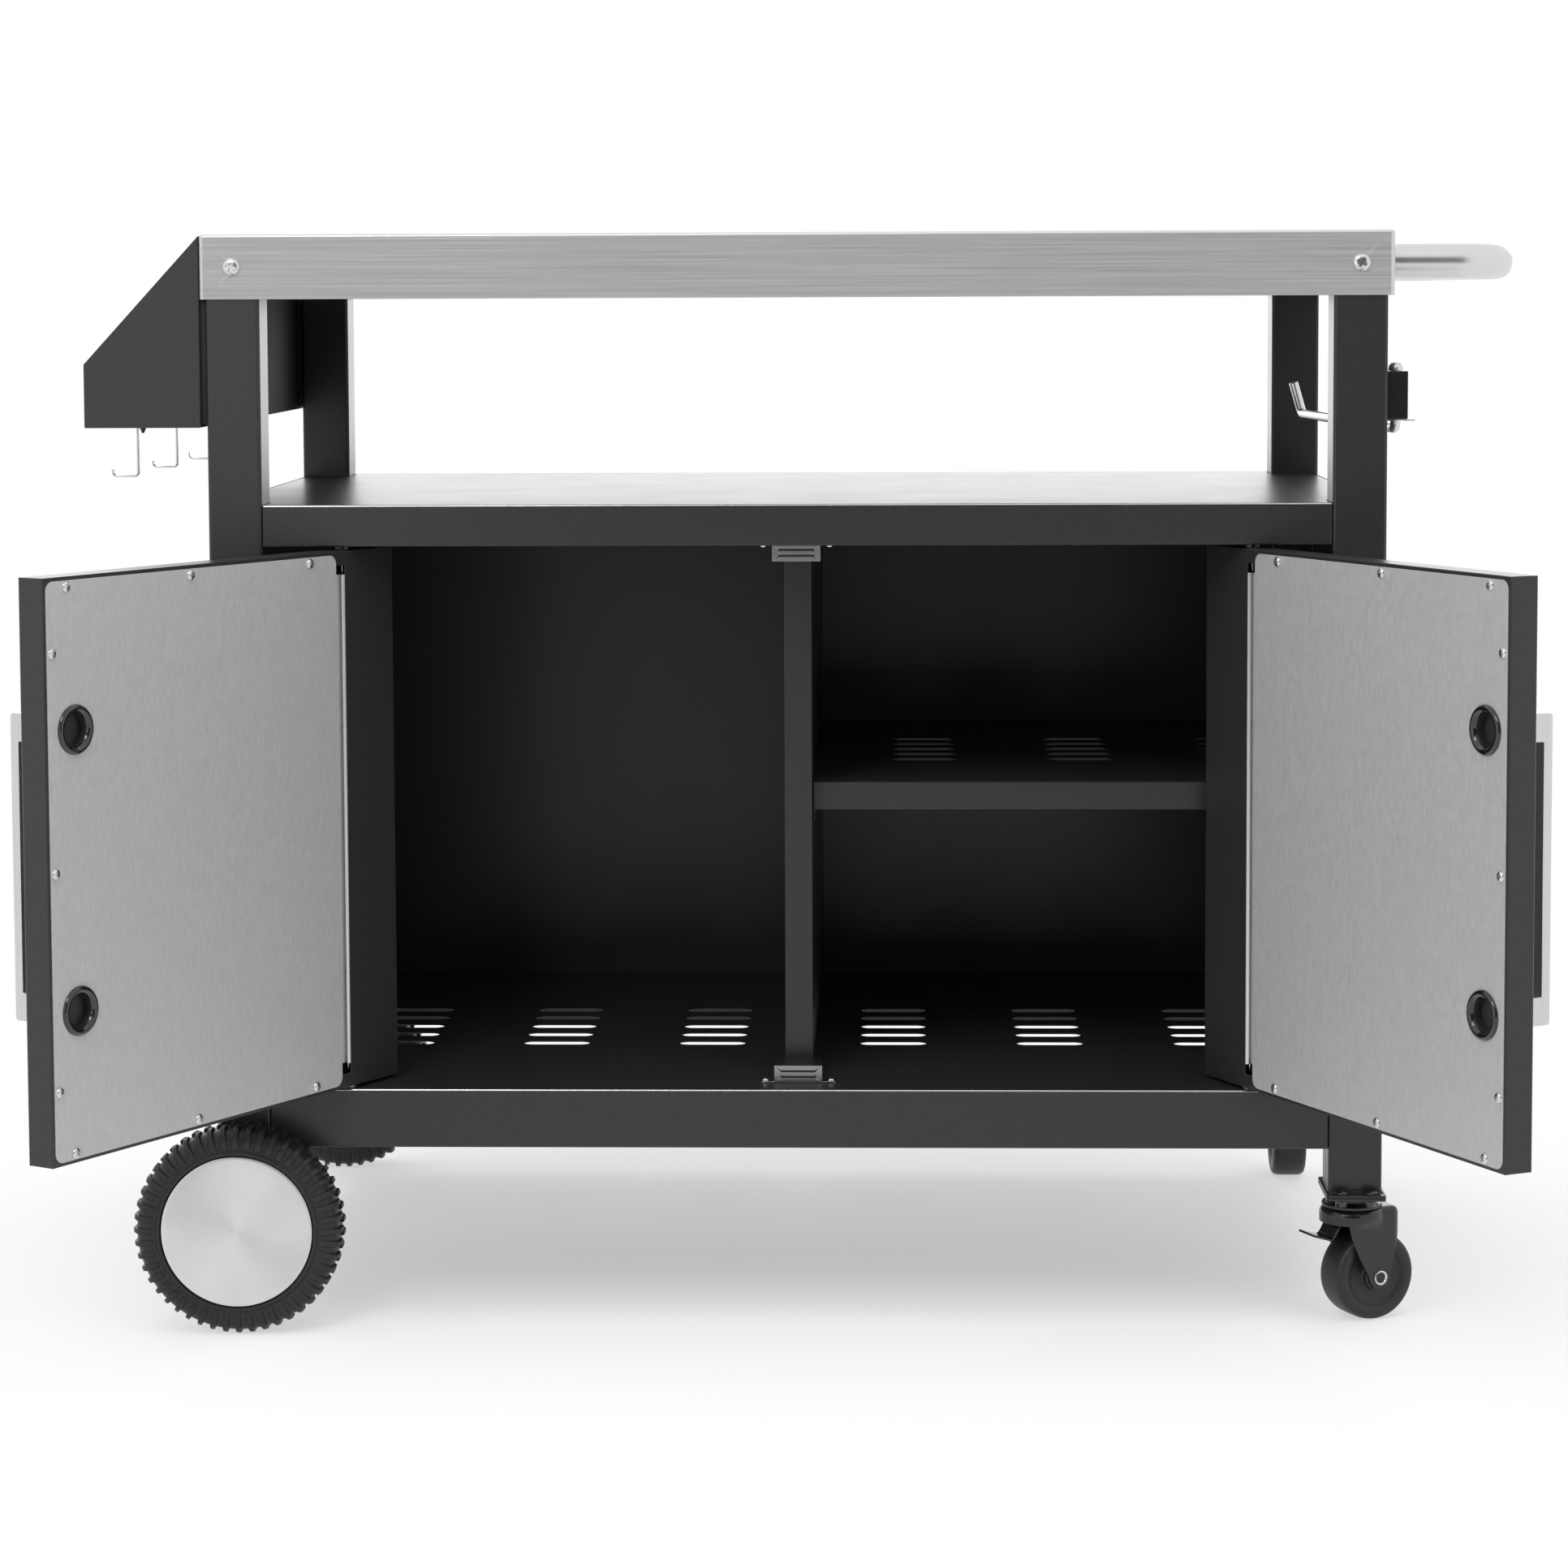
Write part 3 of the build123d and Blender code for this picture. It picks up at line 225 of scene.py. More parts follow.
def make_materials():
    """One material for each finish of the cart."""
    tone = bpy.context.scene.cart_colours
    # The catch cases' zinc at half brightness: painted shade on the catches.
    shaded_zinc = [part * 0.5 for part in tone.zinc]
    level = "Specular IOR Level"
    made = {"cap_silver": spun("Wheel cap silver", tone.cap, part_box("front_cap"), rough=0.34, stretched=0.75)}
    for key, name, colour, grain, relief, rough, uneven, extra in (
        ("powder_coat", "Powder coat", tone.coat, 850.0, 0.08, 0.30, 0.01, {level: 0.42}),
        ("matt_coat", "Matt coat", tone.coat, 850.0, 0.10, 0.66, 0.02, {level: 0.20}),
        ("enamel", "Caster black", tone.enamel, 420.0, 0.03, 0.24, 0.04, {"Coat Weight": 0.15}),
        ("plastic", "Moulded black", tone.plastic, 700.0, 0.08, 0.46, 0.04, {level: 0.45}),
        ("rubber", "Tyre rubber", tone.rubber, 520.0, 0.10, 0.46, 0.04, {level: 0.40}),
        ("gloss", "Gloss plug", tone.enamel, 200.0, 0.02, 0.14, 0.04,
         {"Coat Weight": 0.6, "Coat Roughness": 0.05}),
    ):
        made[key] = coated(name, colour, grain, relief, rough, uneven, extra)
    for key, name, colour, stretch, rough, streak, metal, relief in (
        ("worktop_steel", "Worktop steel", tone.steel, (5.0, 700.0, 700.0), 0.40, 0.05, 0.85, 0.02),
        ("liner_steel", "Liner steel", tone.liner, (330.0, 330.0, 110.0), 0.55, 0.06, 0.45, 0.02),
        ("bar_steel", "Handle bar steel", tone.steel, (900.0, 900.0, 12.0), 0.30, 0.07, 1.0, 0.04),
        ("tube", "Polished tube", tone.tube, (40.0, 40.0, 40.0), 0.30, 0.02, 1.0, 0.0),
        ("zinc", "Zinc plate", tone.zinc, (160.0, 160.0, 160.0), 0.24, 0.06, 1.0, 0.04),
        ("shaded_catch_zinc", "Catch plate", shaded_zinc, (9.0, 200.0, 200.0), 0.32, 0.05, 1.0, 0.04),
    ):
        made[key] = brushed(name, colour, stretch, rough, streak, metal, relief)
    return made


FINISHES = {}


def finish_of(name):
    """A finish by its short name, made on first use."""
    if not FINISHES:
        FINISHES.update(make_materials())
    return FINISHES[name]


# Mesh helpers


def mesh_object(name, shape, material, smooth=32.0):
    """Object at the origin from a bmesh, shaded smooth up to an angle."""
    mesh = bpy.data.meshes.new(name)
    shape.to_mesh(mesh)
    shape.free()
    piece = bpy.data.objects.new(name, mesh)
    bpy.context.scene.collection.objects.link(piece)
    mesh.materials.append(material)
    mesh.shade_smooth()
    mesh.set_sharp_from_angle(angle=math.radians(smooth))
    return piece


def baked(piece):
    """The piece with its modifiers made part of its mesh."""
    bpy.context.view_layer.update()
    graph = bpy.context.evaluated_depsgraph_get()
    mesh = bpy.data.meshes.new_from_object(piece.evaluated_get(graph))
    old = piece.data
    piece.modifiers.clear()
    piece.data = mesh
    mesh.name = piece.name
    bpy.data.meshes.remove(old)
    return piece


def place(piece, node, stands_for=True):
    """Tie a finished piece to a node's body, and let it stand for the node."""
    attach(piece, BODY_OF[node])
    if stands_for:
        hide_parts(node)
    return piece


def solid_object(name, shape, finish, smooth=32.0):
    """Object from a closed bmesh with its faces turned outwards."""
    bmesh.ops.recalc_face_normals(shape, faces=shape.faces)
    return mesh_object(name, shape, finish_of(finish), smooth)


def welded_copy(node):
    """A node's mesh with its corners welded."""
    shape = bmesh.new()
    shape.from_mesh(frame["nodes"][node].data)
    bmesh.ops.remove_doubles(shape, verts=shape.verts, dist=WELD_DISTANCE)
    return shape


def face_width(face):
    """About how wide a long face is."""
    return 2 * face.calc_area() / max(face.calc_perimeter(), 1e-9)


def rounding(piece, method, width):
    """Bevel modifier that rounds a piece's edges."""
    bevel = piece.modifiers.new("Rounding", "BEVEL")
    bevel.limit_method = method
    bevel.width = width
    bevel.segments = 3
    return bevel


def bent_sheet(node, finish, name, fold=None, rim=None, thin=0.0018):
    """A node's shape with its bends rounded and its cut edges broken, in place of the node."""
    fold = fold or sizes().fold
    rim = rim or sizes().rim
    shape = welded_copy(node)
    bmesh.ops.dissolve_limit(shape, angle_limit=FLAT_ANGLE, verts=shape.verts, edges=shape.edges)
    bmesh.ops.connect_verts_concave(shape, faces=shape.faces)
    weight = shape.edges.layers.float.new("bevel_weight_edge")
    shortest = fold * 0.8
    for edge in shape.edges:
        sharp = len(edge.link_faces) == 2 and edge.calc_face_angle(0) > BEND_ANGLE
        if sharp and edge.calc_length() > shortest:
            narrow = min(face_width(face) for face in edge.link_faces) < thin
            edge[weight] = rim / fold if narrow else 1.0
    piece = mesh_object(name, shape, finish_of(finish), smooth=40.0)
    rounding(piece, "WEIGHT", fold).use_clamp_overlap = False
    piece.modifiers.new("Shading", "WEIGHTED_NORMAL").keep_sharp = False
    return place(baked(piece), node)


def refinish(piece, finish, chosen):
    """Give the faces of a piece that pass a test a second finish."""
    piece.data.materials.append(finish_of(finish))
    for face in piece.data.polygons:
        if chosen(face):
            face.material_index = len(piece.data.materials) - 1


def corners_of(points):
    """Lowest and highest corner of the box round some points."""
    low = Vector([min(point[i] for point in points) for i in range(3)])
    high = Vector([max(point[i] for point in points) for i in range(3)])
    return low, high


def loop_at(shape, points, axes=Matrix.Identity(4)):
    """New corners at some points, carried by a matrix."""
    return [shape.verts.new(axes @ Vector(point)) for point in points]


def skin(shape, loops, capped=True):
    """Faces between loops of corners that follow each other, and over both ends."""
    for low, high in zip(loops, loops[1:]):
        count = len(low)
        for index in range(count):
            after = (index + 1) % count
            shape.faces.new((low[index], low[after], high[after], high[index]))
    if capped:
        shape.faces.new(loops[0])
        shape.faces.new(loops[-1])


def block(shape, middle, size, turn=Matrix.Identity(4)):
    """Box of a size about a point."""
    made = bmesh.ops.create_cube(shape, size=1.0)
    matrix = Matrix.Translation(middle) @ turn @ Matrix.Diagonal((*size, 1))
    bmesh.ops.transform(shape, matrix=matrix, verts=made["verts"])


def soften(shape, radius):
    """Round all the edges of some boxes."""
    bmesh.ops.bevel(shape, geom=shape.edges, offset=radius, segments=2, profile=0.5, affect="EDGES")


def arc(start, end, steps):
    """Directions in a plane from one angle to another."""
    turns = [start + (end - start) * step / steps for step in range(steps + 1)]
    return [Vector((math.cos(turn), math.sin(turn))) for turn in turns]


def rounded_path(points, bend, steps):
    """Points of a bent rod's middle line, with an arc at every corner."""
    points = [Vector(point) for point in points]
    path = [points[0]]
    for before, corner, after in zip(points, points[1:], points[2:]):
        back = (before - corner).normalized()
        ahead = (after - corner).normalized()
        half = back.angle(ahead) / 2
        reach = bend / math.tan(half)
        middle = corner + (back + ahead).normalized() * (bend / math.sin(half))
        start = corner + back * reach
        end = corner + ahead * reach
        for step in range(steps + 1):
            chord = start.lerp(end, step / steps) - middle
            path.append(middle + chord.normalized() * bend)
    path.append(points[-1])
    return path


def section_frames(path):
    """A plane across the path at each of its points, turning as little as it can."""
    frames = []
    side = None
    for index, point in enumerate(path):
        before = path[max(index - 1, 0)]
        after = path[min(index + 1, len(path) - 1)]
        along = (after - before).normalized()
        if side is None:
            helper = Vector((0, 1, 0)) if abs(along.y) < 0.9 else Vector(UPRIGHT)
            side = helper.cross(along).normalized()
        side = (side - along * side.dot(along)).normalized()
        frames.append((point, along, side, along.cross(side)))
    return frames


def swept(shape, path, outline, cap_round=0.0):
    """A bar of the given outline along a path, with rounded ends if asked for."""
    frames = section_frames(path)
    quarter = arc(0, math.pi / 2, steps=4)[:-1] if cap_round else []
    cap = [(out.x * cap_round, 1 - cap_round * (1 - out.y)) for out in quarter]
    rings = [(frames[0], -move, shrink) for move, shrink in cap]
    rings += [(section, 0.0, 1.0) for section in frames]
    rings += [(frames[-1], move, shrink) for move, shrink in reversed(cap)]
    reach = max(abs(point[0]) for point in outline)
    loops = []
    for (point, along, side, up), move, shrink in rings:
        center = point + along * (move * reach)
        loops.append(loop_at(shape, [center + side * (a * shrink) + up * (b * shrink) for a, b in outline]))
    skin(shape, loops)


def circle_outline(radius, count):
    """Round section."""
    return [out * radius for out in arc(0, 2 * math.pi, steps=count)[:-1]]


def flat_outline(width, height, corner):
    """Rectangular section with rounded corners."""
    points = []
    for quarter, (x, y) in enumerate(((1, 1), (-1, 1), (-1, -1), (1, -1))):
        middle = Vector((x * (width / 2 - corner), y * (height / 2 - corner)))
        turn = math.pi / 2 * quarter
        points += [middle + out * corner for out in arc(turn, turn + math.pi / 2, steps=3)]
    return points


def turned(shape, profile, matrix, count):
    """A lathe-turned shape: profile points are (radius, height), placed by a matrix."""
    loops = []
    for radius, height in profile:
        ring = circle_outline(radius, count) if radius >= TINY else [(0, 0)]
        loops.append(loop_at(shape, [(x, y, height) for x, y in ring], matrix))
    for low, high in zip(loops, loops[1:] + loops[:1]):
        if len(low) == 1 and len(high) == 1:
            continue
        for index in range(count):
            after = (index + 1) % count
            corners = [low[index % len(low)], low[after % len(low)],
                       high[after % len(high)], high[index % len(high)]]
            shape.faces.new(list(dict.fromkeys(corners)))


def both_sides(upper):
    """A whole profile from its upper half."""
    return upper + [(radius, -height) for radius, height in reversed(upper) if height]


def rounded_profile(points, radius, steps=4):
    """A closed profile of (radius, height) points with its corners rounded."""
    rounded = []
    for index, point in enumerate(points):
        corner = Vector(point)
        back = Vector(points[index - 1]) - corner
        ahead = Vector(points[(index + 1) % len(points)]) - corner
        reach = min(radius, back.length * 0.45, ahead.length * 0.45)
        start = corner + back.normalized() * reach
        end = corner + ahead.normalized() * reach
        for step in range(steps + 1):
            t = step / steps
            bent = start * (1 - t) ** 2 + corner * (2 * t * (1 - t)) + end * t ** 2
            rounded.append((bent.x, bent.y))
    return rounded


def outward(axis, origin):
    """Matrix that stands a turned shape's height along an axis."""
    turn = Vector(axis).to_track_quat("Z", "Y").to_matrix().to_4x4()
    return Matrix.Translation(Vector(origin)) @ turn


def turned_piece(name, node, profile, matrix, finish, count, smooth=40.0):
    """A turned shape that stands for a node."""
    shape = bmesh.new()
    turned(shape, profile, matrix, count)
    bmesh.ops.remove_doubles(shape, verts=shape.verts, dist=TINY)
    return place(solid_object(name, shape, finish, smooth), node)


# Geometry Nodes trees


def node_tree(name, sockets):
    """An empty Geometry Nodes tree with named inputs."""
    tree = bpy.data.node_groups.new(name, "GeometryNodeTree")
    tree.interface.new_socket("Geometry", in_out="INPUT", socket_type="NodeSocketGeometry")
    for label, kind in sockets:
        tree.interface.new_socket(label, in_out="INPUT", socket_type=f"NodeSocket{kind}")
    tree.interface.new_socket("Geometry", in_out="OUTPUT", socket_type="NodeSocketGeometry")
    return tree, tree.nodes.new("NodeGroupInput"), tree.nodes.new("NodeGroupOutput")


def heads_tree():
    """Sets a copy of one head on every point, facing the point's aim and turned by chance."""
    tree, given, result = node_tree("Fastener heads", (
        ("Head", "Object"), ("Seed", "Int"), ("Finish", "Material")))
    head = add_node(tree, "GeometryNodeObjectInfo")
    aim = add_node(tree, "GeometryNodeInputNamedAttribute", {"Name": "aim"}, data_type="FLOAT_VECTOR")
    facing = add_node(tree, "FunctionNodeAlignRotationToVector", axis="Z")
    chance = add_node(tree, "FunctionNodeRandomValue", {3: math.pi}, data_type="FLOAT")
    spin = add_node(tree, "FunctionNodeAxisAngleToRotation", {"Axis": UPRIGHT})
    turn = add_node(tree, "FunctionNodeRotateRotation", rotation_space="LOCAL")
    copies = add_node(tree, "GeometryNodeInstanceOnPoints")
    real = add_node(tree, "GeometryNodeRealizeInstances")
    paint = add_node(tree, "GeometryNodeSetMaterial")
    join(
        tree,
        (given, "Head", head, "Object"), (given, "Seed", chance, "Seed"),
        (aim, "Attribute", facing, "Vector"), (chance, 1, spin, "Angle"),
        (facing, "Rotation", turn, "Rotation"), (spin, "Rotation", turn, "Rotate By"),
        (given, "Geometry", copies, "Points"), (head, "Geometry", copies, "Instance"),
        (turn, "Rotation", copies, "Rotation"), (copies, "Instances", real, "Geometry"),
        (real, "Geometry", paint, "Geometry"), (given, "Finish", paint, "Material"),
        (paint, "Geometry", result, "Geometry"))
    return tree


def ring_tree():
    """Sets copies of one lug in a ring round Z, pointing outwards."""
    tree, given, result = node_tree("Lug ring", (
        ("Lug", "Object"), ("Count", "Int"), ("Start", "Float"), ("Finish", "Material")))
    lug = add_node(tree, "GeometryNodeObjectInfo")
    points = add_node(tree, "GeometryNodePoints")
    index = add_node(tree, "GeometryNodeInputIndex")
    step = add_node(tree, "ShaderNodeMath", {0: 2 * math.pi}, operation="DIVIDE")
    angle = add_node(tree, "ShaderNodeMath", operation="MULTIPLY_ADD")
    spin = add_node(tree, "FunctionNodeAxisAngleToRotation", {"Axis": UPRIGHT})
    copies = add_node(tree, "GeometryNodeInstanceOnPoints")
    real = add_node(tree, "GeometryNodeRealizeInstances")
    both = add_node(tree, "GeometryNodeJoinGeometry")
    paint = add_node(tree, "GeometryNodeSetMaterial")
    join(
        tree,
        (given, "Lug", lug, "Object"), (given, "Count", points, "Count"), (given, "Count", step, 1),
        (index, "Index", angle, 0), (step, "Value", angle, 1), (given, "Start", angle, 2),
        (angle, "Value", spin, "Angle"), (points, "Points", copies, "Points"),
        (lug, "Geometry", copies, "Instance"), (spin, "Rotation", copies, "Rotation"),
        (copies, "Instances", real, "Geometry"), (given, "Geometry", both, "Geometry"),
        (real, "Geometry", both, "Geometry"), (both, "Geometry", paint, "Geometry"),
        (given, "Finish", paint, "Material"), (paint, "Geometry", result, "Geometry"))
    return tree


TREES = {}


def grown(piece, maker, settings):
    """Run a tree on a piece and keep the result as its plain mesh."""
    if maker not in TREES:
        TREES[maker] = maker()
    modifier = piece.modifiers.new("Nodes", "NODES")
    modifier.node_group = TREES[maker]
    for item in TREES[maker].interface.items_tree:
        if item.in_out == "INPUT" and item.name in settings:
            modifier[item.identifier] = settings[item.name]
    return baked(piece)


def points_object(name, spots):
    """Loose points with an aim each."""
    mesh = bpy.data.meshes.new(name)
    mesh.from_pydata([spot for spot, _ in spots], [], [])
    aims = mesh.attributes.new("aim", "FLOAT_VECTOR", "POINT")
    for index, (_, aim) in enumerate(spots):
        aims.data[index].vector = aim
    piece = bpy.data.objects.new(name, mesh)
    bpy.context.scene.collection.objects.link(piece)
    return piece


def cross_head(radius, height):
    """One pan head, its flat side at the origin and its crown up Z, with a cross recess."""
    smooth = 45.0
    shape = bmesh.new()
    profile = [(0.0, 0.0), (radius, 0.0), (radius, height * 0.25), (radius * 0.93, height * 0.55),
               (radius * 0.75, height * 0.82), (radius * 0.45, height * 0.96), (0.0, height)]
    turned(shape, profile, Matrix.Identity(4), count=20)
    head = solid_object("Head pattern", shape, "zinc", smooth)
    cutter = bmesh.new()
    for turn in (0, math.pi / 2):
        block(cutter, (0, 0, height * 1.05), (radius * 1.15, radius * 0.26, height * 1.2),
              Matrix.Rotation(turn, 4, "Z"))
    tool = mesh_object("Recess pattern", cutter, finish_of("zinc"))
    cut = head.modifiers.new("Recess", "BOOLEAN")
    cut.object = tool
    cut.solver = "EXACT"
    cut.use_self = True
    baked(head)
    head.data.set_sharp_from_angle(angle=math.radians(smooth))
    bpy.data.objects.remove(tool)
    return head


def islands(node):
    """Points of each separate solid in a node."""
    shape = welded_copy(node)
    seen = set()
    groups = []
    for start in shape.verts:
        if start in seen:
            continue
        seen.add(start)
        group = [start]
        # The list grows while it is walked, until the solid's last corner is in it.
        for vert in group:
            for edge in vert.link_edges:
                other = edge.other_vert(vert)
                if other not in seen:
                    seen.add(other)
                    group.append(other)
        groups.append([vert.co.copy() for vert in group])
    shape.free()
    return groups


def head_spots(node, aim, height):
    """Where the heads of a node's screws sit, and which way they face."""
    spots = []
    for group in islands(node):
        direction = Vector(aim(group)).normalized()
        low, high = corners_of(group)
        middle = (low + high) / 2
        top = max(point.dot(direction) for point in group)
        spots.append((middle + direction * (top - height - middle.dot(direction)), direction))
    spots.sort(key=lambda pair: tuple(round(part, 4) for part in pair[0]))
    return spots


def screw_piece(name, node, aim, radius, height, seed, finish="zinc"):
    """All the screw heads of a node as one piece; aim says which way a solid's head faces."""
    head = cross_head(radius, height)
    piece = points_object(name, head_spots(node, aim, height))
    grown(piece, heads_tree, {"Head": head, "Seed": seed, "Finish": finish_of(finish)})
    bpy.data.objects.remove(head)
    return place(piece, node)


def door_frame(side):
    """A door's own axes at rest: X to its free edge, Y out of its inner face, Z up, from its hinge."""
    joint = JOINTS[f"{side}_door_hinge"]
    way = -1 if side == "left" else 1
    angle = math.radians(max(abs(limit) for limit in joint["range_deg"]))
    along = Vector((-way * math.cos(angle), -math.sin(angle), 0))
    inner = Vector((-way * math.sin(angle), math.cos(angle), 0))
    axes = Matrix((along, inner, Vector(UPRIGHT))).transposed().to_4x4()
    return Matrix.Translation((joint["pos_m"][0], joint["pos_m"][1], 0)) @ axes


def box_in(node, axes):
    """Lowest and highest corner of a node in the given axes."""
    back = axes.inverted()
    return corners_of([back @ vert.co for vert in frame["nodes"][node].data.vertices])


# Operators


class CART_OT_frame(bpy.types.Operator):
    """Round the bends of legs, shelves and cabinet sheets, and paint a highlight along the shelves' front folds"""

    bl_idname = "cart.frame"
    bl_label = "Frame and cabinet"

    def execute(self, context):
        for node in (
            "front_left_leg", "front_right_leg", "back_left_leg", "back_right_leg", "back_panel",
            "left_side_panel", "right_side_panel", "divider",
            "half_shelf", "half_shelf_rails", "worktop_stiffeners",
        ):
            bent_sheet(node, "powder_coat", f"{node}_sheet")
        fold, lean = 0.0014, 0.2
        for node in ("upper_shelf", "base_shelf"):
            pan = bent_sheet(node, "powder_coat", f"{node}_sheet", fold=fold)
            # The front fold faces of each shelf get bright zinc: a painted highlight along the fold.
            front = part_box(node)[0].y + fold + 0.0002
            refinish(pan, "zinc", lambda face: (
                face.center.y < front and -face.normal.y > lean and face.normal.z > lean))
        return {"FINISHED"}


class CART_OT_worktop(bpy.types.Operator):
    """Brush the worktop and set its screws"""

    bl_idname = "cart.worktop"
    bl_label = "Worktop"

    def execute(self, context):
        bent_sheet("worktop", "worktop_steel", "worktop_pan", fold=0.0008, rim=0.0007)
        screw_piece(
            "worktop_screw_heads", "worktop_screws", lambda group: (0, -1 if group[0].y < 0 else 1, 0),
            radius=0.0076, height=0.0038, seed=3)
        return {"FINISHED"}


class CART_OT_doors(bpy.types.Operator):
    """Make door pans, liners, handles, plugs and their screws"""

    bl_idname = "cart.doors"
    bl_label = "Doors"

    def execute(self, context):
        for side in DOORS:
            axes = door_frame(side)
            normal = axes.to_3x3().col[1]
            bent_sheet(f"{side}_door_shell", "powder_coat", f"{side}_door_pan")
            bent_sheet(f"{side}_door_liner", "liner_steel", f"{side}_door_lining", fold=0.0003, rim=0.0002)
            self.bar(side, axes)
            self.hem(side, axes)
            bent_sheet(f"{side}_door_pins", "zinc", f"{side}_door_pivot_pins", fold=0.0004)
            screw_piece(
                f"{side}_door_screw_heads", f"{side}_door_screws", lambda group: normal,
                radius=0.0043, height=0.0025, seed=7)
            self.plugs(side, normal)
        washers = bent_sheet("pivot_washers", "zinc", "pivot_washer_rings", fold=0.0004)
        middle = sum(corner.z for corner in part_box("pivot_washers")) / 2
        refinish(washers, "enamel", lambda face: face.center.z > middle)
        return {"FINISHED"}

    def bar(self, side, axes):
        """Flat bar handle, bent at both ends into a foot on the door."""
        node = f"{side}_door_handle"
        low, high = box_in(node, axes)
        foot, thick, bend = 0.022, 0.008, 0.003
        outline = [(high.y, low.z)]
        for middle_z, start in ((low.z + bend, 1.5), (high.z - bend, 1.0)):
            for out in arc(math.pi * start, math.pi * (start - 0.5), steps=6):
                outline.append((low.y + bend + bend * out.x, middle_z + bend * out.y))
        outline += [
            (high.y, high.z), (high.y, high.z - foot), (low.y + thick, high.z - foot),
            (low.y + thick, low.z + foot), (high.y, low.z + foot)]
        shape = bmesh.new()
        skin(shape, [loop_at(shape, [(x, y, z) for y, z in outline], axes) for x in (low.x, high.x)])
        piece = solid_object(f"{side}_door_bar", shape, "bar_steel", smooth=40.0)
        rounding(piece, "ANGLE", 0.0009).angle_limit = math.radians(40)
        place(baked(piece), node)

    def hem(self, side, axes):
        """Polished slanting hem along the hinge side of a liner."""
        node = f"{side}_door_liner"
        low, high = box_in(node, axes)
        start, face, width, sunk, inset = low.x + 0.001, high.y - 0.001, 0.0018, 0.0052, 0.0172
        section = [
            (start + width * share, face - drop) for share, drop in (
                (0, sunk), (0, 0.0001), (0.30, 0.0007), (0.64, 0.0019), (1, 0.0035), (1, sunk))]
        shape = bmesh.new()
        ends = (low.z + inset, high.z - inset)
        skin(shape, [loop_at(shape, [(x, y, z) for x, y in section], axes) for z in ends])
        place(solid_object(f"{side}_door_hem", shape, "tube", smooth=40.0), node, stands_for=False)

    def plugs(self, side, normal):
        """Round rubber plugs over the handle's screws, deep in the middle."""
        node = f"{side}_door_grommets"
        lip = 0.0025
        profile = [(0.0165, -0.008), (0.0165, 0.0), (0.0195, 0.0), (0.0195, 0.0008), (0.0186, 0.0022),
                   (0.0172, 0.0029), (0.0156, 0.0027), (0.0141, 0.0016), (0.0129, -0.0004),
                   (0.0121, -0.0035), (0.0119, -0.007), (0.0, -0.007), (0.0, -0.008)]
        shape = bmesh.new()
        for group in islands(node):
            level = max(point.dot(normal) for point in group) - lip
            middle = sum(group, Vector()) / len(group)
            turned(shape, profile, outward(normal, middle + normal * (level - middle.dot(normal))), count=48)
        bmesh.ops.remove_doubles(shape, verts=shape.verts, dist=TINY)
        piece = solid_object(f"{side}_door_plugs", shape, "gloss", smooth=50.0)
        refinish(piece, "plastic", lambda face: face.center.dot(normal) < level + 0.0003)
        place(piece, node)


class CART_OT_rack(bpy.types.Operator):
    """Make the spice rack, its hooks and its bolts"""

    bl_idname = "cart.rack"
    bl_label = "Spice rack"

    def execute(self, context):
        bin_sheet = bent_sheet("spice_rack", "powder_coat", "spice_bin")
        refinish(bin_sheet, "matt_coat", lambda face: face.normal.x > 0.9)
        # Dark strips beside the rack: painted shade for the gaps at the legs.
        self.shade_strips()
        thick, arm, tip = 0.0018, 0.022, 0.006
        shape = bmesh.new()
        for group in islands("tool_hooks"):
            low, high = corners_of(group)
            middle = (low.y + high.y) / 2
            left, floor, roof = low.x + thick / 2, low.z + thick / 2, high.z - thick / 2
            stem = left + arm
            path = rounded_path([
                (high.x, middle, roof), (stem, middle, roof), (stem, middle, floor),
                (left, middle, floor), (left, middle, floor + tip)], sizes().hook_bend, steps=6)
            swept(shape, path, flat_outline(thick, high.y - low.y, 0.0006))
        place(solid_object("tool_hook_wires", shape, "zinc", smooth=50.0), "tool_hooks")
        bent_sheet("rack_bolts", "enamel", "rack_bolt_nuts", fold=0.0004, thin=0.0002)
        return {"FINISHED"}

    def shade_strips(self):
        """Dark matt strips filling the gaps between the rack's back and the two legs beside it: painted shade, no
        real part.
        """
        rack_low, rack_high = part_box("spice_rack")
        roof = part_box("worktop")[0].z
        gap, inset = 0.00005, 0.004
        shape = bmesh.new()
        for end in ENDS:
            leg_low, leg_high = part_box(f"{end}_left_leg")
            low = Vector((rack_high.x + gap, leg_low.y + inset, rack_low.z + 0.003))
            high = Vector((leg_low.x - gap, leg_high.y - inset, roof - 0.001))
            block(shape, (low + high) / 2, high - low)
        soften(shape, 0.0005)
        painted_shade_strip = solid_object("spice_rack_packing", shape, "matt_coat", smooth=40.0)
        place(painted_shade_strip, "spice_rack", stands_for=False)


class CART_OT_push_handle(bpy.types.Operator):
    """Bend the polished push handle and turn its collars"""

    bl_idname = "cart.push_handle"
    bl_label = "Push handle"

    def execute(self, context):
        low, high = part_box("push_handle")
        radius = (high.z - low.z) / 2
        middle = (high.z + low.z) / 2
        ends = (low.y + radius, high.y - radius)
        outer = high.x - radius
        path = rounded_path([
            (low.x, ends[0], middle), (outer, ends[0], middle),
            (outer, ends[1], middle), (low.x, ends[1], middle)], sizes().grip_bend, steps=24)
        shape = bmesh.new()
        swept(shape, path, circle_outline(radius, count=48))
        place(solid_object("push_handle_tube", shape, "tube", smooth=60.0), "push_handle")
        bore = radius + 0.0001
        profile = rounded_profile(
            [(bore, 0.0), (0.019, 0.0), (0.019, 0.0025), (0.0172, 0.006), (bore, 0.006)], radius=0.0008)
        shape = bmesh.new()
        for y in ends:
            turned(shape, profile, outward((1, 0, 0), (low.x, y, middle)), count=64)
        place(solid_object("push_handle_collars", shape, "tube", smooth=50.0), "handle_collars")
        return {"FINISHED"}


